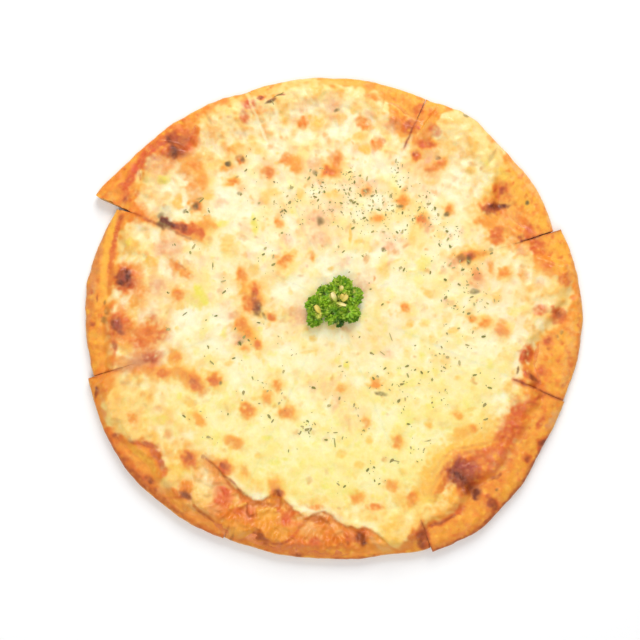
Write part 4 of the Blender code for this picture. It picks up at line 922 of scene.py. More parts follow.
left_side = np.exp(-((ANGLE - 196.0) / 46.0) ** 2) * ease((RADIUS - 107.0) / 9.0)
sheet = glaze(sheet, paint(238, 128, 30), 0.28 * left_side * (0.3 + 0.7 * browned) * (1.0 + 0.5 * WAVE_9))
low_side = np.exp(-((ANGLE - 258.0) / 38.0) ** 2) * ease((RADIUS - 122.0) / 10.0)
sheet = glaze(sheet, paint(228, 118, 8), 0.26 * low_side * (0.3 + 0.7 * browned))
right_side = np.exp(-(((ANGLE + 22.0) % 360.0 - 14.0) / 26.0) ** 2) * ease((RADIUS - 109.0) / 6.0)
sheet = glaze(sheet, paint(244, 152, 50), 0.09 * right_side)
sheet = glaze(sheet, paint(255, 250, 138), 0.22 * near_side * ease((116.0 - RADIUS) / 14.0))
on_rim = ease((past_start - 2.5) / 4.0) * (1.0 - roast)
on_rim *= 1.0 - 0.8 * np.exp(-((ANGLE - 216.0) / 8.0) ** 2) - 0.6 * np.exp(-((ANGLE - 163.0) / 10.0) ** 2)
for colour, broad_wave, fine_wave, less, amount in (
        ("orange", 0.34 * np.roll(WAVE_9, 55, 1), 0.26 * np.roll(WAVE_5, 33, 0), 0.04, 0.8),
        ("rust", 0.26 * np.roll(WAVE_9, 20, 0), 0.20 * np.roll(WAVE_5, 70, 1), 0.26, 0.7),
        ("bright", 0.32 * np.roll(WAVE_9, 130, 0), 0.24 * np.roll(WAVE_5, 91, 1), 0.05, 0.8)):
    cover(colour, ALL, on_rim * np.clip(broad_wave + fine_wave + 0.10 * WAVE_2 - less, 0, 1), amount)
# Narrow bright arcs along the crests of the golden tubes of crust are painted highlights.
arc("bright", ((211.5, 145, 1.8), (215, 141.4, 2.8), (218, 140.4, 2.8), (221, 141.4, 1.6)), .75, 1.3)
arc("bright", ((154, 147, 1.6), (160, 145.5, 1.6), (166, 142.8, 1.6), (173, 140.8, 1.6)), .6, 1.2)
for x, y, wide, tall, turn, height in (
        (-117.5, -84, 13, 6.5, -18, 1.3), (80, -91, 9.6, 7.4, -20, 1.4), (83, -101, 5, 5.4, -30, .8),
        (86.4, -105, 3, 3, 0, .4), (-96.5, 106, 8, 8, 0, .8), (-126.5, 26, 7, 6.5, 0, .9),
        (-130, -3, 7, 6, 0, .9), (99, -80, 7, 9, 0, .5), (103, -90, 5, 4, 0, .6), (55, 62, 5, 5, 0, .25),
        (100, 70, 8, 4, 0, .4), (103, 80, 5, 5, 0, .4), (119, -37, 3, 7, 45, .5)):
    lump(x, y, wide, tall, turn, height)
for way, far, wide, tall, lean, height in (
        (233, 128, 11, 10, 20, 1.1), (254.5, 131, 8, 6.5, 0, 1), (264, 132, 6.5, 8, 0, .9),
        (247.5, 139, 4, 7, 0, .7), (241, 128, 5, 7, 0, .5), (276, 141, 8, 4, 0, .6), (273, 129, 4, 4, 0, .4),
        (320, 131, 7, 6, 0, .5), (350, 119.5, 5, 4, 0, .4), (225, 143, 3, 4.6, 0, .5), (303, 147, 8, 5, 0, .35),
        (1.5, 137, 5, 5, 0, .4)):
    rim_lump(way, far, wide, tall, lean, height)
roast = np.clip(roast, 0, 1)
lip_field = blur(ease((past_lip + 1.2) / 2.6) * beside, 0.5)
print("mean colour inside:", np.round(255 * sheet[RADIUS < 115].mean(0)), "roast:", round(float(roast.mean()), 3))

# %% [markdown]
# Every layer of a slice is one grid, bent into the wedge between two cuts. The rows of the grid run
# round the slice and its columns run out to the rim. Inside, neighbours share the line of the cut, so
# the cheese reads as one sheet; near the rim each cut opens by its own width, with a torn edge.

# %% Bend a grid into a slice
OPENING = 13.0


def new_grid(name, columns, rows):
    """A flat grid, with the part across and the row number of each corner."""
    bpy.ops.object.select_all(action="DESELECT")
    bpy.ops.mesh.primitive_grid_add(x_subdivisions=columns, y_subdivisions=rows, size=1.0)
    piece = bpy.context.object
    piece.name = name
    piece.data.name = name
    flat = corners(piece)
    lines = np.unique(np.round(flat[:, 1], 5)).size - 1
    return piece, flat[:, 0] + 0.5, np.rint((flat[:, 1] + 0.5) * lines).astype(int), lines


def corners(piece):
    """The corners of a mesh as rows of numbers."""
    out = np.empty(len(piece.data.vertices) * 3, np.float32)
    piece.data.vertices.foreach_get("co", out)
    return out.reshape(-1, 3).astype(float)


def place_corners(piece, x, y, z):
    """Put the corners of a mesh at places in millimetres about the middle of the round."""
    spots = np.stack([(x + MIDDLE[0]) * MM, (y + MIDDLE[1]) * MM, z * MM], axis=-1)
    piece.data.vertices.foreach_set("co", spots.astype(np.float32).ravel())
    piece.data.update()


def half_gap(cut, distance, side):
    """Half of the width of a cut at a distance from where the cuts cross, a little torn."""
    opens = reach(math.radians(CUT_ANGLES[cut]), OPENS_AT[cut])
    torn = 1.0 + 0.3 * np.sin(distance / 2.1 + 3.0 * side + cut) + 0.25 * np.sin(distance / 0.8 + 5.0 * side)
    return 0.5 * RIM_GAPS[cut] * torn * ease((distance - opens) / OPENING)


def direction(index, part, distance, least=0.0):
    """The direction of a ray of a slice, turned in a little where the cuts are open."""
    far = np.maximum(distance, 1.0)
    start = np.radians(CUT_ANGLES[index]) + np.maximum(half_gap(index, distance, 0), least) / far
    end = np.radians(CUT_ANGLES[index + 1]) - np.maximum(half_gap(index + 1, distance, 1), least) / far
    return start + (end - start) * part


def ray_angle(index, part):
    """The plain direction of a ray, before the cuts open."""
    start, end = np.radians(CUT_ANGLES[index]), np.radians(CUT_ANGLES[index + 1])
    return start + (end - start) * part


def rim_radius(index, part):
    """The outer edge of the crust, with broad and fine unevenness."""
    columns, back = np.unique(np.round(part, 6), return_inverse=True)
    broad = 0.7 * waver(index * 7.3 + columns * 5.0 + 3.1, 1.0, 3.1)
    fine = 0.35 * waver(columns * 120.0 + index * 130.0, 7.0, 9.4)
    fine = fine + 0.15 * waver(columns * 120.0, 2.4, 2.2 + index)
    return (along(RIM_RADII[index], columns) + broad + fine)[back]


def cheese_radius(index, part):
    """The edge of the cheese, scalloped, never past the shoulder of the crust."""
    columns, back = np.unique(np.round(part, 6), return_inverse=True)
    wave = 1.7 * waver(columns * 120.0 + index * 57.0, 13.0, 4.4)
    wave = wave + 0.9 * waver(columns * 120.0, 5.0, 7.7 + index)
    wanted = along(CHEESE_RADII[index], columns) + wave
    way = np.degrees(ray_angle(index, columns)) % 360.0
    wanted = np.maximum(wanted, np.interp(way, start[:, 0], start[:, 1]) + 3.5)
    return np.minimum(wanted, rim_radius(index, columns) - 1.6 + 0.5 * wave)[back]


CRUST_DENTS = 0.16 * WAVE_16 + 0.17 * np.roll(WAVE_9, 60, 1) + 0.09 * np.roll(WAVE_5, 40, 0)


def crust_top(depth, x, y):
    """Height of the crust's upper side at a depth in from its outer edge."""
    rise = ease((RIM_FOOT - depth) / (RIM_FOOT - CREST_IN))
    height = BASE_TOP + (RIM_CREST - BASE_TOP + 0.15 * read(WAVE_60, x, y)) * rise
    dents = read(CRUST_DENTS, x, y) * ease((40.0 - depth) / 12.0) * ease(depth / 2.5)
    return height + dents - SHOULDER_DROP * np.clip(1.0 - depth / CREST_IN, 0, 1) ** 2


def where(index, part, distance, least=0.0):
    """Places on a slice, about the middle of the round."""
    way = direction(index, part, distance, least)
    return CROSSING[0] + distance * np.cos(way), CROSSING[1] + distance * np.sin(way)


print("columns and rows bend by slice")

# %% [markdown]
# A layer needs walls and a floor, or its cut side would be hollow. The open border of the bent sheet
# is extruded straight down to the flat base of bread, and one face closes the bottom.

# %% Walls, floor and vertex colours
def keep(piece, name, values):
    """Store one number for each corner."""
    layer = piece.data.attributes.get(name) or piece.data.attributes.new(name, "FLOAT", "POINT")
    layer.data.foreach_set("value", np.asarray(values, np.float32))


def kept(piece, name):
    """Read back one number for each corner."""
    out = np.empty(len(piece.data.vertices), np.float32)
    piece.data.attributes[name].data.foreach_get("value", out)
    return out.astype(float)


def drop_walls(piece):
    """Extrude the open border down; gives back which corners are new."""
    bpy.ops.object.mode_set(mode="EDIT")
    bpy.ops.mesh.select_mode(type="EDGE")
    bpy.ops.mesh.select_all(action="DESELECT")
    bpy.ops.mesh.select_non_manifold(
        use_wire=False, use_boundary=True, use_multi_face=False, use_non_contiguous=False, use_verts=False)
    bpy.ops.mesh.extrude_edges_move(TRANSFORM_OT_translate={"value": (0.0, 0.0, -0.0005)})
    bpy.ops.object.mode_set(mode="OBJECT")
    chosen = np.empty(len(piece.data.vertices), bool)
    piece.data.vertices.foreach_get("select", chosen)
    return chosen


def turn_outward():
    """Turn every face of the active piece outward."""
    bpy.ops.object.mode_set(mode="EDIT")
    bpy.ops.mesh.select_all(action="SELECT")
    bpy.ops.mesh.normals_make_consistent(inside=False)
    bpy.ops.mesh.select_all(action="DESELECT")
    bpy.ops.object.mode_set(mode="OBJECT")


def close_floor():
    """Fill the selected lower border of the active piece and turn its faces outward."""
    bpy.ops.object.mode_set(mode="EDIT")
    bpy.ops.mesh.edge_face_add()
    bpy.ops.object.mode_set(mode="OBJECT")
    turn_outward()


def thicken(piece, thickness):
    """Give a sheet a thickness with Solidify."""
    solid = piece.modifiers.new("thickness", "SOLIDIFY")
    solid.thickness = thickness
    solid.offset = 0.0
    bpy.context.view_layer.objects.active = piece
    bpy.ops.object.modifier_apply(modifier="thickness")


def join_pieces(pieces, name):
    """Join pieces into one mesh of that name."""
    bpy.ops.object.select_all(action="DESELECT")
    for piece in pieces:
        piece.select_set(True)
    bpy.context.view_layer.objects.active = pieces[0]
    bpy.ops.object.join()
    whole = bpy.context.object
    whole.name = name
    whole.data.name = name
    bpy.ops.object.transform_apply(location=True, rotation=True, scale=True)
    return whole


def colour_corners(piece, colour):
    """Store the colour of each corner as light values."""
    layer = piece.data.color_attributes.new("tone", "FLOAT_COLOR", "POINT")
    values = np.ones((len(piece.data.vertices), 4), np.float32)
    values[:, :3] = linear(np.clip(colour, 0, 1))
    layer.data.foreach_set("color", values.ravel())


def finish_piece(piece, material, nodes, angle=50.0):
    """Smooth the piece, give it its finish and let it ride with the pizza."""
    bpy.ops.object.select_all(action="DESELECT")
    piece.select_set(True)
    bpy.context.view_layer.objects.active = piece
    bpy.ops.object.shade_smooth_by_angle(angle=math.radians(angle))
    if not piece.data.materials:
        piece.data.materials.append(material)
    if nodes:
        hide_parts(*nodes)
    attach(piece, "root")
    piece.select_set(False)


# %% [markdown]
# The finishes read the stored colours and add what is finer than the mesh: a grain of tiny bubbles in
# the cheese, the dull skin of bread, the sheen of oil. Cheese lets a little light in, which softens
# its shadows, so it gets some subsurface scattering.

# %% A finish that reads the stored colours
def new_node(tree, kind, values):
    """A shader node with its inputs set."""
    node = tree.nodes.new(kind)
    for name, value in values.items():
        node.inputs[name].default_value = value
    return node


def food_finish(name, grain, grain_size, bump, rough, sheen=0.5, light_in=0.0, depth=0.002, speck=0.06,
                thick=False):
    """A Principled finish: stored colour, fine mottling, grain in the bump, uneven gloss and soft light."""
    material = bpy.data.materials.new(name)
    material.use_nodes = True
    tree = material.node_tree
    shader = tree.nodes["Principled BSDF"]
    place = tree.nodes.new("ShaderNodeTexCoord")
    tone = tree.nodes.new("ShaderNodeAttribute")
    tone.attribute_name = "tone"
    fine = new_node(tree, "ShaderNodeTexNoise", {"Scale": 1000.0 / grain_size, "Detail": 5.0, "Roughness": 0.62})
    coarse = new_node(tree, "ShaderNodeTexNoise", {"Scale": 1000.0 / (grain_size * 4.5), "Detail": 3.0})
    shade = new_node(tree, "ShaderNodeMapRange", {
        "From Min": 0.3, "From Max": 0.7, "To Min": 1.0 - speck, "To Max": 1.0 + speck * 0.6})
    mixed = tree.nodes.new("ShaderNodeVectorMath")
    mixed.operation = "SCALE"
    gloss = new_node(tree, "ShaderNodeMapRange", {
        "From Min": 0.35, "From Max": 0.65, "To Min": rough - 0.09, "To Max": rough + 0.12})
    broad = new_node(tree, "ShaderNodeBump", {"Strength": bump, "Distance": 0.0007})
    small = new_node(tree, "ShaderNodeBump", {"Strength": grain, "Distance": 0.0004})
    for output, target in (
            (place.outputs["Object"], fine.inputs["Vector"]), (place.outputs["Object"], coarse.inputs["Vector"]),
            (fine.outputs["Fac"], shade.inputs["Value"]), (tone.outputs["Color"], mixed.inputs[0]),
            (shade.outputs["Result"], mixed.inputs["Scale"]),
            (mixed.outputs["Vector"], shader.inputs["Base Color"]),
            (coarse.outputs["Fac"], gloss.inputs["Value"]),
            (gloss.outputs["Result"], shader.inputs["Roughness"]),
            (coarse.outputs["Fac"], broad.inputs["Height"]), (fine.outputs["Fac"], small.inputs["Height"]),
            (broad.outputs["Normal"], small.inputs["Normal"]), (small.outputs["Normal"], shader.inputs["Normal"])):
        tree.links.new(output, target)
    shader.inputs["Specular IOR Level"].default_value = sheen
    shader.inputs["Subsurface Weight"].default_value = light_in
    shader.inputs["Subsurface Radius"].default_value = (1.0, 0.6, 0.3)
    shader.inputs["Subsurface Scale"].default_value = depth
    if thick:
        body = tree.nodes.new("ShaderNodeAttribute")
        body.attribute_name = "thick"
        share = tree.nodes.new("ShaderNodeMath")
        share.operation = "MULTIPLY"
        share.inputs[1].default_value = light_in
        tree.links.new(body.outputs["Fac"], share.inputs[0])
        tree.links.new(share.outputs["Value"], shader.inputs["Subsurface Weight"])
    return material


cheese_finish = food_finish("melted_cheese_skin", 0.18, 1.2, 0.2, 0.42, 0.42, 0.3, 0.0016, 0.035, True)
crust_finish = food_finish("baked_bread_skin", 0.35, 1.3, 0.35, 0.5, 0.38, 0.1, 0.0015, 0.07)
crumb_finish = food_finish("bread_crumb", 1.0, 1.6, 1.0, 0.8, 0.2, 0.1, 0.002, 0.2)
sauce_finish = food_finish("cooked_sauce", 0.4, 1.0, 0.4, 0.36, 0.5, 0.1, 0.001, 0.1)
print("finishes:", len(bpy.data.materials))

# %% [markdown]
# The crust's grid wraps round the bread: over the hidden base, up the low rim, round the shoulder and
# the side, and back along the underside. Its cut faces show crumb, so they get a second finish. Its
# upper side reads the same painted sheet as the cheese, because the two are baked into one skin.

# %% The crust of one slice
SIDE = (
    (1.25, 6.85), (.75, 6.35), (.4, 5.7), (.15, 4.95), (.03, 4.3), (0, 3.6), (.1, 2.8), (.35, 2), (.75, 1.25),
    (1.35, .65), (2.2, .25), (3.2, .05), (4.6, 0))


def crust_rows():
    """Depth in from the edge and height of every row, and how many rows follow the crust's own top."""
    top = np.linspace(44.0, 1.7, 76 // COARSE)
    side = np.array(SIDE)
    fine = np.linspace(0, len(side) - 1, 27)
    depth = np.interp(fine, np.arange(len(side)), side[:, 0])
    height = np.interp(fine, np.arange(len(side)), side[:, 1])
    under = np.linspace(7.0, 140.0, 14)
    return np.concatenate([top, depth, under]), np.concatenate([top * 0, height, under * 0]), top.size


def crust_colour(x, y, height, below):
    """The painted skin on top, painted light over the steep shoulder, paler bread low on the side, brown marks
    underneath.
    """
    wave_a, wave_b = read(WAVE_16, x, y), read(WAVE_9, x, y)
    colour = read(sheet, x, y)
    # The steep shoulder is painted paler as painted light, to offset the shade it falls in; charred places keep
    # their dark.
    painted_shoulder_light = ease((6.9 - height) / 1.5) * (1.0 - 0.7 * ease(read(roast, x, y) / 0.5))
    colour = glaze(colour, paint(250, 204, 130), 0.6 * painted_shoulder_light)
    colour = glaze(colour, paint(236, 180, 116), ease((4.2 - height) / 2.6) * 0.7)
    baked = np.ones((x.size, 3)) * paint(226, 176, 118)
    baked = glaze(baked, paint(172, 106, 60), np.clip(0.4 + 0.4 * wave_a + 0.3 * wave_b, 0, 1))
    return colour * (1 - below[:, None]) + baked * below[:, None]


def make_crust(index):
    """The bread of one slice, closed all round."""
    depths, heights, first_side = crust_rows()
    rows = depths.size + 2
    piece, part, row, _ = new_grid(f"crust_skin_{index + 1}", 170 // COARSE, rows - 1)
    rim = rim_radius(index, part)
    far_rim = reach(ray_angle(index, part), rim)
    depth_list = np.concatenate([[0.0], depths, [0.0]])
    height_list = np.concatenate([[0.0], heights, [0.0]])
    row = np.minimum(row, rows - 1)
    depth, height = depth_list[row], height_list[row]
    ends = (row == 0) | (row == rows - 1)
    dent = 0.3 * waver(part * 118.0 + index * 140.0, 9.0, 5.5)
    dent = dent + 0.14 * waver(part * 118.0 + height * 2.0, 2.6, 1.5)
    distance = np.where(ends, 1.0, np.maximum(far_rim - depth - dent * (depth < 5), 1.2))
    x, y = where(index, part, distance, 0.12)
    deep = np.where(ends, 100.0, depth)
    folds = 0.06 * read(WAVE_2, x, y) * read(roast, x, y)
    top = crust_top(deep, x, y) + folds * ease((20.0 - deep) / 12.0)
    z = np.where(row <= first_side, top, height)
    place_corners(piece, x, y, z)
    below = ease((0.5 - z) / 0.5) * (row > first_side)
    colour_corners(piece, crust_colour(x, y, z, below))
    keep(piece, "across", part)
    keep(piece, "line", row)
    close_sides(piece, rows)
    piece.data.materials.append(crust_finish)
    piece.data.materials.append(crumb_finish)
    crumbs = [face for face in piece.data.polygons if len(face.vertices) > 20]
    for face in crumbs:
        face.material_index = 1
    finish_piece(piece, crust_finish, [f"slice_{index + 1}_crust"], 42.0)
    return piece


def close_sides(piece, rows):
    """Bridge the tip and fill both cut faces."""
    across, line = kept(piece, "across"), kept(piece, "line")
    for pick in ((line < 0.5) | (line > rows - 1.5), across < 1e-6, across > 1 - 1e-6):
        bpy.ops.object.mode_set(mode="EDIT")
        bpy.ops.mesh.select_mode(type="VERT")
        bpy.ops.mesh.select_all(action="DESELECT")
        bpy.ops.object.mode_set(mode="OBJECT")
        piece.data.vertices.foreach_set("select", pick)
        chosen = set(np.nonzero(pick)[0])
        for edge in piece.data.edges:
            edge.select = edge.vertices[0] in chosen and edge.vertices[1] in chosen
        bpy.ops.object.mode_set(mode="EDIT")
        bpy.ops.mesh.select_mode(type="EDGE")
        both_ends = pick[np.argmin(line)] and pick[np.argmax(line)]
        cut_face = (across[pick] < 1e-6).all() or (across[pick] > 1 - 1e-6).all()
        if both_ends and not cut_face:
            bpy.ops.mesh.bridge_edge_loops()
        else:
            bpy.ops.mesh.edge_face_add()
        bpy.ops.object.mode_set(mode="OBJECT")
    turn_outward()


crusts = [make_crust(index) for index in range(8)]
print("crusts:", len(crusts), "faces each:", len(crusts[0].data.polygons))

# %% [markdown]
# The sauce is a thin orange-red film between the bread and the cheese. It shows in the cuts and in a
# few places where it boiled out past the cheese, so its grid is coarser.

# %% The sauce of one slice
SAUCE_SHOWS = ((16, 25), (66, 76), (126, 150), (156, 166), (240, 276), (336, 350))


def make_sauce(index):
    """A film of sauce that ends under the edge of the cheese, and past it in a few places."""
    piece, part, row, lines = new_grid(f"sauce_film_{index + 1}", 130 // COARSE, 30)
    rim = rim_radius(index, part)
    ray = np.degrees(ray_angle(index, part)) % 360.0
    shows = sum(ease((ray - start) / 3.0) * ease((end - ray) / 3.0) for start, end in SAUCE_SHOWS)
    spill = -1.6 + 2.8 * shows + 0.7 * waver(part * 120.0 + index * 11.0, 8.0, 6.1)
    edge = np.minimum(cheese_radius(index, part) + spill, rim - 1.4)
    far_edge, far_rim = reach(ray_angle(index, part), edge), reach(ray_angle(index, part), rim)
    steps = np.concatenate([[0.0], np.linspace(0.0, 1.0, lines) ** 0.8])
    foot = far_edge - 42.0
    distance = np.where(row == 0, 1.0, foot + (far_edge - foot) * steps[row])
    keep(piece, "across", part)
    keep(piece, "far", distance)
    keep(piece, "rim", far_rim)
    keep(piece, "edge", far_edge)
    chosen = drop_walls(piece)
    part, distance, far_rim, far_edge = (kept(piece, name) for name in ("across", "far", "rim", "edge"))
    x, y = where(index, part, distance, 0.08)
    ground = crust_top(far_rim - distance, x, y)
    film = 0.12 + (SAUCE_TOP - 0.12) * ease((far_edge - distance) / 6.0) + 0.05 * read(WAVE_5, x, y)
    place_corners(piece, x, y, np.where(chosen, BASE_TOP - 0.1, ground + film))
    close_floor()
    wave = np.clip(0.5 + 0.3 * read(WAVE_9, x, y) + 0.2 * read(WAVE_2, x, y), 0, 1)
    cooked = glaze(np.ones((x.size, 3)) * paint(230, 128, 58), paint(208, 92, 46), wave)
    past = ease((distance - far_edge + 4.0) / 3.0)
    colour_corners(piece, glaze(cooked, read(sheet, x, y), 0.7 * past))
    finish_piece(piece, sauce_finish, [f"slice_{index + 1}_sauce"])
    return piece


sauces = [make_sauce(index) for index in range(8)]
print("sauces:", len(sauces), "faces each:", len(sauces[0].data.polygons))

# %% [markdown]
# The cheese gets the finest grid, about half a millimetre between its points, because its relief is
# what the eye reads first. Its height adds up from the crust below it, its own thickness, which falls
# off at the lip and at the edge, the shreds, the bubbles and some soft unevenness.

# %% The cheese of one slice
relief = 0.17 * WAVE_30 + 0.13 * WAVE_16 + 0.08 * WAVE_9 + 0.05 * WAVE_5 + 0.34 * shred_height
relief += lip_field * (0.32 * WAVE_9 + 0.20 * WAVE_5)
wrinkles = blur(roast, 0.6) * (0.14 * WAVE_2 + 0.16 * WAVE_5)
lip_bead = blur(np.exp(-((past_lip + 2.4) / 2.0) ** 2) * beside, 0.5)


def cheese_height(x, y, inset):
    """How thick the cheese is at a place, by how far in from its edge it is."""
    past = read(lip_field, x, y)
    thick = CHEESE_FULL * (1 - past) + CHEESE_THIN * past + 0.25 * read(lip_bead, x, y)
    taper = 0.03 + 0.97 * ease(inset / 9.0) ** 0.8
    height = thick * taper + (read(relief, x, y) + read(bubble, x, y)) * (0.1 + 0.9 * ease(inset / 6.0))
    return np.maximum(height + read(wrinkles, x, y), 0.05)


def make_cheese(index):
    """The melted cheese of one slice."""
    piece, part, row, lines = new_grid(f"cheese_melt_{index + 1}", 190 // COARSE, 230 // COARSE)
    rim, edge = rim_radius(index, part), cheese_radius(index, part)
    far_rim, far_edge = reach(ray_angle(index, part), rim), reach(ray_angle(index, part), edge)
    spacing = np.linspace(0.0, 1.0, lines + 1)
    spacing = spacing * 1.06 - 0.06 * spacing ** 6
    distance = 0.6 + (far_edge - 0.6) * (spacing / spacing[-1])[row]
    for name, values in (("across", part), ("far", distance), ("rim", far_rim), ("edge", far_edge)):
        keep(piece, name, values)
    chosen = drop_walls(piece)
    part, distance, far_rim, far_edge = (kept(piece, name) for name in ("across", "far", "rim", "edge"))
    x, y = where(index, part, distance)
    ground = crust_top(far_rim - distance, x, y)
    inset = far_edge - distance
    floor = CHEESE_FLOOR * ease(inset / 7.0) + 0.06
    height = cheese_height(x, y, inset)
    z = np.where(chosen, BASE_TOP + 0.02, ground + floor + height)
    place_corners(piece, x, y, z)
    keep(piece, "thick", ease((height + floor - 2.2) / 1.8))
    close_floor()
    side = np.where(chosen, 0.5, 0.0) * ease(inset / 8.0)
    colour_corners(piece, glaze(read(sheet, x, y), PAINTS["butter"], side))
    finish_piece(piece, cheese_finish, [f"slice_{index + 1}_cheese"])
    return piece


cheeses = [make_cheese(index) for index in range(8)]
print("cheeses:", len(cheeses), "faces each:", len(cheeses[0].data.polygons))

# %% [markdown]
# The dried herbs are crumbled leaf: thin curled chips, one to three millimetres long. A few chips are
# modelled from a cube, then copied to where the herbs fell, and the copies are joined. Many small
# crumbs lie round the larger chips, most of them on the far side.

# %% Herb flakes
def surface_height(x, y):
    """Height of the cheese straight under a place, by a ray cast down."""
    start = Vector(((x + MIDDLE[0]) * MM, (y + MIDDLE[1]) * MM, 0.06))
    best = None
    for cheese in cheeses:
        hit, spot, normal, _ = cheese.ray_cast(start, Vector((0.0, 0.0, -1.0)))
        if hit and (best is None or spot.z > best[0].z):
            best = (spot, normal)
    return best


def herb_chip(number):
    """One thin curled chip of dried leaf."""
    pick = random.Random(number)
    bpy.ops.mesh.primitive_cube_add(size=1.0)
    chip = bpy.context.object
    chip.scale = (2.2, pick.uniform(0.9, 1.5), 0.22)
    bpy.ops.object.transform_apply(location=False, rotation=False, scale=True)
    bpy.ops.object.mode_set(mode="EDIT")
    bpy.ops.mesh.select_all(action="SELECT")
    bpy.ops.mesh.subdivide(number_cuts=2)
    bpy.ops.object.mode_set(mode="OBJECT")
    lean = [pick.uniform(-0.25, 0.25) for _ in range(6)]
    for vert in chip.data.vertices:
        end = vert.co.x / 1.1
        vert.co.y *= 1.0 - 0.5 * end * end + lean[0] * end
        vert.co.y += 0.5 * lean[1] * end * end + 0.2 * lean[2] * math.sin(5.0 * vert.co.x)
        vert.co.x += lean[3] * vert.co.y
        vert.co.z += (0.25 + lean[4]) * end * end + 0.5 * lean[5] * vert.co.y * vert.co.y
    chip.data.transform(Matrix.Scale(MM, 4))
    return chip


HERB_SPOTS = (
    (-14, 91), (-10, 89), (-8, 93), (-15, 86), (-13, 81), (-6, 84), (-7, 82), (-11, 75), (-8, 78), (-5, 78),
    (-12, 77), (-9, 73), (-28, 76), (-29, 67), (-31, 66), (-26, 72), (-22, 72), (-36, 72), (-25, 81), (-36, 84),
    (-56, 77), (-45, 71), (-48, 62), (-2, 72), (-2, 67), (0, 67), (-20, 58), (-31, 53), (-41, 44), (-42, 40),
    (-36, 39), (-36, 34), (-66, 17), (-75, 66), (-71, 3), (-77, 0), (-53, 91), (-53, 100), (-96, 46), (-85, 45),
    (-87, 41), (-89, 66), (-100, 17), (6, 89), (10, 90), (10, 86), (13, 84), (16, 88), (21, 86), (38, 97),
    (40, 93), (39, 90), (38, 85), (41, 81), (46, 87), (4, 79), (7, 79), (10, 80), (10, 77), (8, 77), (17, 76),
    (19, 79), (20, 78), (26, 78), (24, 76), (24, 73), (22, 70), (24, 68), (31, 72), (35, 76), (36, 70),
    (39, 69), (42, 65), (33, 67), (36, 67), (28, 67), (32, 64), (11, 73), (12, 72), (13, 72), (15, 71), (5, 71),
    (11, 65), (5, 66), (18, 65), (19, 62), (21, 61), (13, 60), (3, 57), (12, 56), (3, 45), (30, 43), (6, 42),
    (18, 39), (41, 32), (43, 31), (10, 29), (23, 19), (30, 10), (32, 57), (31, 54), (24, 54), (39, 54),
    (42, 54), (44, 55), (45, 58), (48, 61), (50, 62), (52, 67), (53, 69), (57, 75), (53, 76), (58, 71),
    (62, 68), (64, 64), (58, 62), (59, 58), (67, 57), (69, 54), (75, 57), (76, 51), (70, 49), (71, 45),
    (62, 51), (65, 46), (60, 36), (59, 29), (68, 25), (71, 34), (73, 32), (77, 36), (82, 36), (79, 31),
    (85, 28), (81, 24), (82, 22), (77, 22), (80, 17), (86, 17), (84, 14), (83, 12), (86, 10), (92, 8), (94, 10),
    (98, 12), (93, 16), (66, 12), (68, 14), (73, 7), (74, 9), (79, 8), (79, 5), (82, 4), (88, 31), (96, 41),
    (69, -2), (-100, -5), (-59, -5), (-45, -1), (-33, -10), (-76, -16), (-54, -10), (-51, -12), (-56, -14),
    (-25, -21), (-60, -23), (-30, -31), (-49, -35), (-43, -38), (-40, -43), (-31, -44), (-12, -41), (-54, -44),
    (-45, -50), (-33, -50), (-90, -58), (-80, -55), (-64, -57), (-39, -58), (-37, -61), (-19, -64), (-20, -68),
    (-16, -66), (-15, -68), (-13, -66), (-11, -63), (-15, -61), (-3, -68), (-4, -72), (-27, -79), (-2, -52),
    (4, -47), (-75, -71), (3, -99), (7, -100), (16, -10), (50, -15), (23, -20), (66, -16), (62, -21), (65, -20),
    (69, -22), (68, -29), (66, -31), (58, -31), (60, -36), (50, -30), (54, -32), (45, -28), (45, -33),
    (52, -38), (43, -37), (42, -39), (40, -40), (36, -39), (34, -42), (31, -29), (27, -34), (24, -35),
    (22, -41), (29, -44), (40, -49), (44, -48), (66, -48), (68, -42), (60, -50), (13, -51), (15, -58),
    (19, -67), (4, -28), (6, -31), (8, -25), (43, -54), (46, -63), (55, -78), (47, -77), (51, -85), (35, -85),
    (25, -89), (21, -90), (25, -97), (28, -99), (76, -5), (69, -8), (85, -7), (91, -10), (81, -15), (77, -26),
    (86, -33), (92, -51), (92, -60), (95, -41), (6, -71))
HERB_LINES = (
    (-73, 33, 5, .1), (-66, 24, 5, -.8), (-80, 73, 4.5, .3), (-90, 4, 4, .2), (-73, -26, 5, .5),
    (35, -10, 6, .5), (57, -73, 5, -.7), (38, -85, 5, .2), (1, -68, 4, .4), (1, -74, 6, .3),
    (30, -20, 4.4, 1.2), (-33, 137, 7, .15), (-36.5, 132, 5, 1))
chips = [herb_chip(number) for number in range(6)]
chooser = random.Random(33)
flakes = []


def drop_chip(x, y, size, turn, long=1.0):
    """Lay one chip on the cheese, sunk in a little."""
    found = surface_height(x, y)
    if found is None:
        return
    flake = bpy.data.objects.new("flake", chips[chooser.randrange(6)].data.copy())
    bpy.context.scene.collection.objects.link(flake)
    flat = found[1].to_track_quat("Z", "Y").to_matrix().to_4x4()
    spin = Euler((chooser.uniform(-0.25, 0.25), chooser.uniform(-0.2, 0.2), turn)).to_matrix().to_4x4()
    flake.matrix_world = (Matrix.Translation(found[0] + Vector((0, 0, 0.00006))) @ flat @ spin
                          @ Matrix.Diagonal((size * long, size, size, 1.0)))
    keep(flake, "herb", [chooser.random()] * len(flake.data.vertices))
    flakes.append(flake)


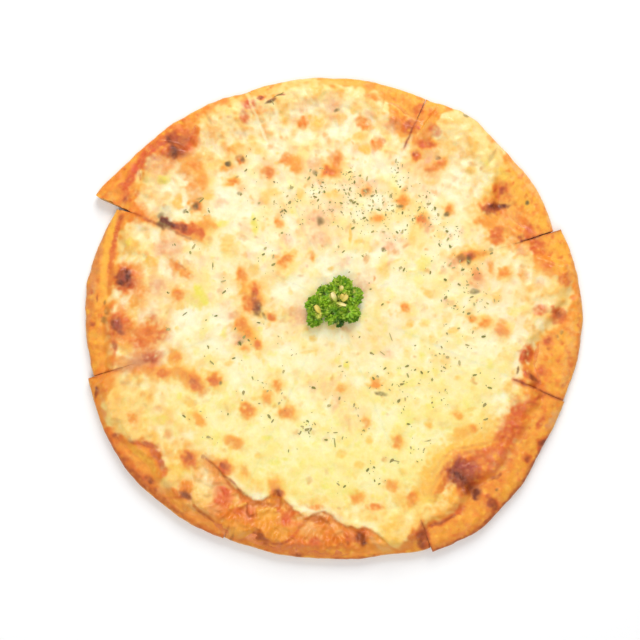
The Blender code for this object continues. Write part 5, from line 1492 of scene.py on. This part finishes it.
for x, y in HERB_SPOTS:
    drop_chip(x + chooser.uniform(-0.4, 0.4), y + chooser.uniform(-0.4, 0.4),
              chooser.choice((0.55, 0.7, 0.8, 0.95, 1.1)), chooser.uniform(0, math.tau), chooser.uniform(0.8, 1.3))
    for _ in range(chooser.choice((2, 3, 4, 5) if y > 45 and x > -40 else (1, 1, 2, 3))):
        drop_chip(x + chooser.gauss(0, 3.0), y + chooser.gauss(0, 3.0),
                  chooser.uniform(0.22, 0.42), chooser.uniform(0, math.tau))
for x, y, long, turn in HERB_LINES:
    drop_chip(x, y, 0.62, turn, long / 1.5)
for chip in chips:
    bpy.data.objects.remove(chip, do_unlink=True)
herbs = join_pieces(flakes, "herb_flakes")
print("flakes:", len(flakes), "faces:", len(herbs.data.polygons))

# %% A dry green finish for the herbs
kind = kept(herbs, "herb")
dry = np.where((kind < 0.62)[:, None], paint(174, 164, 96), paint(196, 178, 118))
green = np.where((kind < 0.34)[:, None], paint(146, 142, 72), dry)
green = glaze(green, paint(112, 108, 54), np.clip(0.5 * np.sin(37.0 * kind), 0, 0.4))
colour_corners(herbs, green)
herb_finish = food_finish("dried_herb", 0.3, 0.6, 0.3, 0.72, 0.25, 0.0, 0.001, 0.15)
finish_piece(herbs, herb_finish, [], 60.0)

# %% [markdown]
# Curly parsley is a cushion of small leaflets whose edges are so crowded that they ruffle. One
# leaflet is a fan bent from a grid, ruffled more and more towards its edge, and given a thickness with
# Solidify. Copies of a few such fans are set close together around the heads of the sprig, nine small
# ones on top of each head and six wider ones underneath, which close the cushion towards the cheese.

# %% One ruffled leaflet
def leaflet(number):
    """A ruffled fan of leaf, 1 unit in radius, base at the origin."""
    pick = random.Random(100 + number)
    piece, part, row, lines = new_grid(f"leaf_fan_{number}", 40, 7)
    out = row / lines
    turn = np.radians(-120.0 + 240.0 * part)
    waves, lobes = pick.choice((6, 7, 8)), pick.choice((5, 6))
    phase, shift = pick.uniform(0, 6), pick.uniform(0, 6)
    tooth = np.abs(np.sin(waves * 1.5 * turn + shift))
    radius = 0.12 + (0.88 + 0.16 * np.sin(lobes * turn + shift) + 0.16 * tooth * out) * out
    ruffle = 0.30 * out ** 1.6 * np.sin(waves * turn + phase)
    ruffle = ruffle + 0.12 * out ** 3 * np.sin(2.3 * waves * turn + shift)
    cup = 0.30 * out ** 2
    coarse = np.stack([radius * np.cos(turn), radius * np.sin(turn), ruffle + cup], axis=-1)
    piece.data.vertices.foreach_set("co", coarse.astype(np.float32).ravel())
    keep(piece, "outness", np.clip(out + 0.3 * ruffle, 0, 1))
    thicken(piece, 0.055)
    return piece


HEADS = (
    (5, 19.5, 7.8, 6.6), (-9.5, 8, 6.8, 7), (10, 5, 6.6, 6.4), (-4.5, 15.5, 6.4, 5.6), (.5, 4, 6.4, 5.6),
    (12.5, 14, 6.4, 5.2), (-11, 1, 5.4, 4.6), (3.6, 11.6, 5.4, 3.6), (3.2, -1.2, 2.8, .8))
PALE_CURLS = (
    (0, 14.3, 2.2, 3.4), (4.6, 19.2, 1.6, 2), (7.4, 13.8, 2, 2.8), (4.9, 9.4, 3, 1.5), (-9.8, 6.9, 2.4, 2.6),
    (-8.6, 3.4, 2, 3), (12.4, 17.4, 1.6, 1.4), (3.6, 12.4, 3, 2.6))
low_cad, high_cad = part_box("parsley_sprig")
print("solid sprig, mm:", [round((high - low) * 1000, 1) for low, high in zip(low_cad, high_cad)])
ground = max(surface_height(x, y)[0].z for x, y in ((0, 10), (8, 18), (-8, 8), (10, 4), (-4, 20))) * 1000.0
fans = [leaflet(number) for number in range(6)]
TOP_LEAVES, ALL_LEAVES, TIP_LEAVES = 9, 15, 2
chooser = random.Random(12)
leaves = []
for x, y, tall, size in HEADS:
    for number in range(ALL_LEAVES if size > 2.0 else TIP_LEAVES):
        below = number >= TOP_LEAVES
        way = math.tau * number / 9.0 + chooser.uniform(-0.3, 0.3) + (2.1 * (number - 9) if below else 0.0)
        ring = size * (0.0 if number in (0, 9, 10, 11) else 0.5 if below else chooser.uniform(0.25, 0.66))
        lean = chooser.uniform(0.2, 1.05) * (0.3 if below or number == 0 else 1.0)
        scale = size * (0.82 if number < 12 else 0.5) if below else chooser.uniform(2.5, 3.7)
        leaf = bpy.data.objects.new("leaf", fans[chooser.randrange(6)].data.copy())
        bpy.context.scene.collection.objects.link(leaf)
        spot = Vector((x + ring * math.cos(way) + MIDDLE[0], y + ring * math.sin(way) + MIDDLE[1],
                       ground + tall - 0.6 - 0.32 * ring + chooser.uniform(-0.8, 0.5) - (2.0 if below else 0.0)))
        aim = Euler((0.0, lean, way), "XYZ").to_matrix().to_4x4()
        spin = Matrix.Rotation(chooser.uniform(-0.6, 0.6), 4, "Z")
        leaf.matrix_world = Matrix.Translation(spot * MM) @ aim @ spin @ Matrix.Scale(scale * MM, 4)
        leaves.append(leaf)
for fan in fans:
    bpy.data.objects.remove(fan, do_unlink=True)
parsley = join_pieces(leaves, "parsley_leaves")
spots = corners(parsley)
spots[:, 2] = np.maximum(spots[:, 2], ground * MM + 0.0002)
parsley.data.vertices.foreach_set("co", spots.astype(np.float32).ravel())
print("leaflets:", len(leaves), "faces:", len(parsley.data.polygons), "top:", round(spots[:, 2].max() / MM, 1))

# %% The greens of parsley, with painted shade low in the cushion and painted highlights on the upper edges
outness = kept(parsley, "outness")
up = (spots[:, 2] * 1000.0 - ground) / 9.0
shade = np.array([noise.noise(Vector((x * 420.0, y * 420.0, z * 420.0))) for x, y, z in spots])
patch = np.array([noise.noise(Vector((x * 170.0, y * 170.0, 2.0))) for x, y, z in spots])
# Lower leaflets are painted darker green as painted shade, higher and outer ones lighter, with random patches of
# tone.
painted_shade_and_tone = np.clip(0.2 + 0.55 * up + 0.3 * outness + 0.6 * patch, 0, 1)
green = glaze(np.ones((spots.shape[0], 3)) * paint(54, 108, 8), paint(150, 196, 32), painted_shade_and_tone)
# Pale yellow-green on the high outer edges is a painted highlight.
green = glaze(green, paint(214, 226, 92), np.clip(0.9 * outness * up - 0.36 + 0.8 * shade, 0, 0.75))
green = glaze(green, paint(206, 208, 104), ease((0.3 - outness) / 0.3) * 0.5)
for x, y, wide, tall in PALE_CURLS:
    away_x = (spots[:, 0] * 1000 - MIDDLE[0] - x) / wide
    away_y = (spots[:, 1] * 1000 - MIDDLE[1] - y) / tall
    curl = ease((1.35 - np.hypot(away_x, away_y)) / 0.7) * ease(up - 0.1)
    green = glaze(green, paint(246, 224, 126), curl * 0.9)
tip = np.hypot(spots[:, 0] * 1000 - MIDDLE[0] - 3.0, spots[:, 1] * 1000 - MIDDLE[1] + 3.0)
green = glaze(green, paint(40, 74, 40), ease((4.6 - tip) / 2.0) * 0.55)
colour_corners(parsley, green)
leaf_finish = food_finish("curly_parsley_leaf", 0.3, 0.7, 0.3, 0.42, 0.45, 0.0, 0.001, 0.1)
finish_piece(parsley, leaf_finish, ["parsley_sprig"], 70.0)

# %% [markdown]
# Here and there a leaf shows its pale underside. Each of these petals is a flat grid, narrowed at both
# ends, cupped across and thickened. It runs from one place to another at its own height, and the last
# number says how golden it is. The stub of the stalk is a short thick curve.

# %% Pale petals of leaf, and the stub of a stalk
PETALS = (
    (1.6, 11.4, -0.8, 16.4, 2.9, 8.8, 0.0), (5.4, 11.4, 8.6, 14.8, 3.0, 8.4, 0.7),
    (2.0, 10.4, 7.8, 8.6, 1.8, 8.8, 0.1), (-8.0, 4.4, -10.8, 8.8, 2.8, 7.6, 0.8),
    (4.2, 17.6, 5.6, 20.4, 2.2, 9.0, 0.3), (4.6, 12.6, 5.8, 15.6, 2.2, 8.0, 0.9))
STALK = ((2.6, -4.2, 0.8), (3.2, 0.0, 3.0))
petals = []
for number, (x0, y0, x1, y1, wide, tall, gold) in enumerate(PETALS):
    piece, part, row, lines = new_grid(f"petal_{number}", 8, 10)
    out, side = row / lines, 2.0 * part - 1.0
    half = 0.5 * wide * np.sin(math.pi * (0.1 + 0.8 * out)) ** 0.7
    long = math.hypot(x1 - x0, y1 - y0)
    x = x0 + (x1 - x0) * out + side * half * (y1 - y0) / long
    y = y0 + (y1 - y0) * out - side * half * (x1 - x0) / long
    cup = 1.5 * np.sin(1.6 * out) + 0.5 * half * side * side + 0.12 * np.sin(9.0 * out + number) * side
    place_corners(piece, x, y, ground + tall - 1.2 + cup)
    keep(piece, "outness", out)
    keep(piece, "gold", gold + 0.3 * np.abs(side))
    petals.append(piece)
bpy.ops.curve.primitive_bezier_curve_add()
stalk = bpy.context.object
for point, spot in zip(stalk.data.splines[0].bezier_points, STALK):
    place = Vector((spot[0] + MIDDLE[0], spot[1] + MIDDLE[1], spot[2] + ground)) * MM
    point.co = place
    point.handle_left = place - Vector((0.0002, 0.0013, 0.0004))
    point.handle_right = place + Vector((0.0002, 0.0013, 0.0006))
stalk.data.bevel_depth = 0.0009
stalk.data.bevel_resolution = 2
stalk.data.use_fill_caps = True
bpy.ops.object.convert(target="MESH")
stalk = bpy.context.object
for piece in petals:
    thicken(piece, 0.0004)
keep(stalk, "outness", np.zeros(len(stalk.data.vertices)))
keep(stalk, "gold", np.zeros(len(stalk.data.vertices)))
pale_leaves = join_pieces(petals + [stalk], "parsley_petals")
pale = np.ones((len(pale_leaves.data.vertices), 3)) * paint(176, 194, 70)
pale = glaze(pale, paint(255, 240, 176), ease(1.5 * kept(pale_leaves, "outness")))
colour_corners(pale_leaves, glaze(pale, paint(240, 208, 84), np.clip(0.75 * kept(pale_leaves, "gold"), 0, 0.8)))
finish_piece(pale_leaves, leaf_finish, [], 60.0)

# %% [markdown]
# The photograph was taken from almost straight above, on white, in soft bright daylight from the far
# side. A broad soft light does most of the work, and a weaker one keeps the relief of the cheese
# readable.

# %% Floor, lights and camera
bpy.ops.mesh.primitive_plane_add(size=6.0, location=(0.0, 0.0, -0.0002))
floor = bpy.context.object
floor.name = "floor"
floor_finish = bpy.data.materials.new("white_floor")
floor_finish.use_nodes = True
floor_finish.node_tree.nodes["Principled BSDF"].inputs["Base Color"].default_value = (0.9, 0.9, 0.9, 1.0)
floor_finish.node_tree.nodes["Principled BSDF"].inputs["Roughness"].default_value = 0.9
floor.data.materials.append(floor_finish)


def soft_light(name, spot, size, power):
    """A square soft light at a spot, turned to the pizza."""
    lamp = bpy.data.lights.new(name, "AREA")
    lamp.size = size
    lamp.energy = power
    holder = bpy.data.objects.new(name, lamp)
    bpy.context.scene.collection.objects.link(holder)
    holder.location = spot
    holder.rotation_euler = (-Vector(spot)).to_track_quat("-Z", "Y").to_euler()


soft_light("window", (0.15, 1.05, 0.95), 0.8, 14.0)
soft_light("overhead", (-0.2, -0.6, 1.4), 1.2, 9.0)
world = bpy.data.worlds.new("white_room")
world.use_nodes = True
world.node_tree.nodes["Background"].inputs["Color"].default_value = (1.0, 1.0, 1.0, 1.0)
world.node_tree.nodes["Background"].inputs["Strength"].default_value = 0.48
bpy.context.scene.world = world
bpy.context.scene.view_settings.view_transform = "Standard"

PHOTO_WIDTH = 640
SCALE = 0.61
ELEVATION = 88.0
lens, sensor = 85.0, 36.0
away = PHOTO_WIDTH * SCALE * MM / sensor * lens
aim = Vector((MIDDLE[0] - 13.0 * SCALE, MIDDLE[1] + 2.0 * SCALE - 0.8, 5.0)) * MM
camera_data = bpy.data.cameras.new("camera")
camera_data.lens = lens
camera_data.sensor_width = sensor
camera = bpy.data.objects.new("camera", camera_data)
bpy.context.scene.collection.objects.link(camera)
lift = math.radians(ELEVATION)
camera.location = aim + Vector((0.0, -math.cos(lift), math.sin(lift))) * away
camera.rotation_euler = (aim - camera.location).to_track_quat("-Z", "Y").to_euler()
bpy.context.scene.camera = camera
print("camera at", [round(v, 3) for v in camera.location])
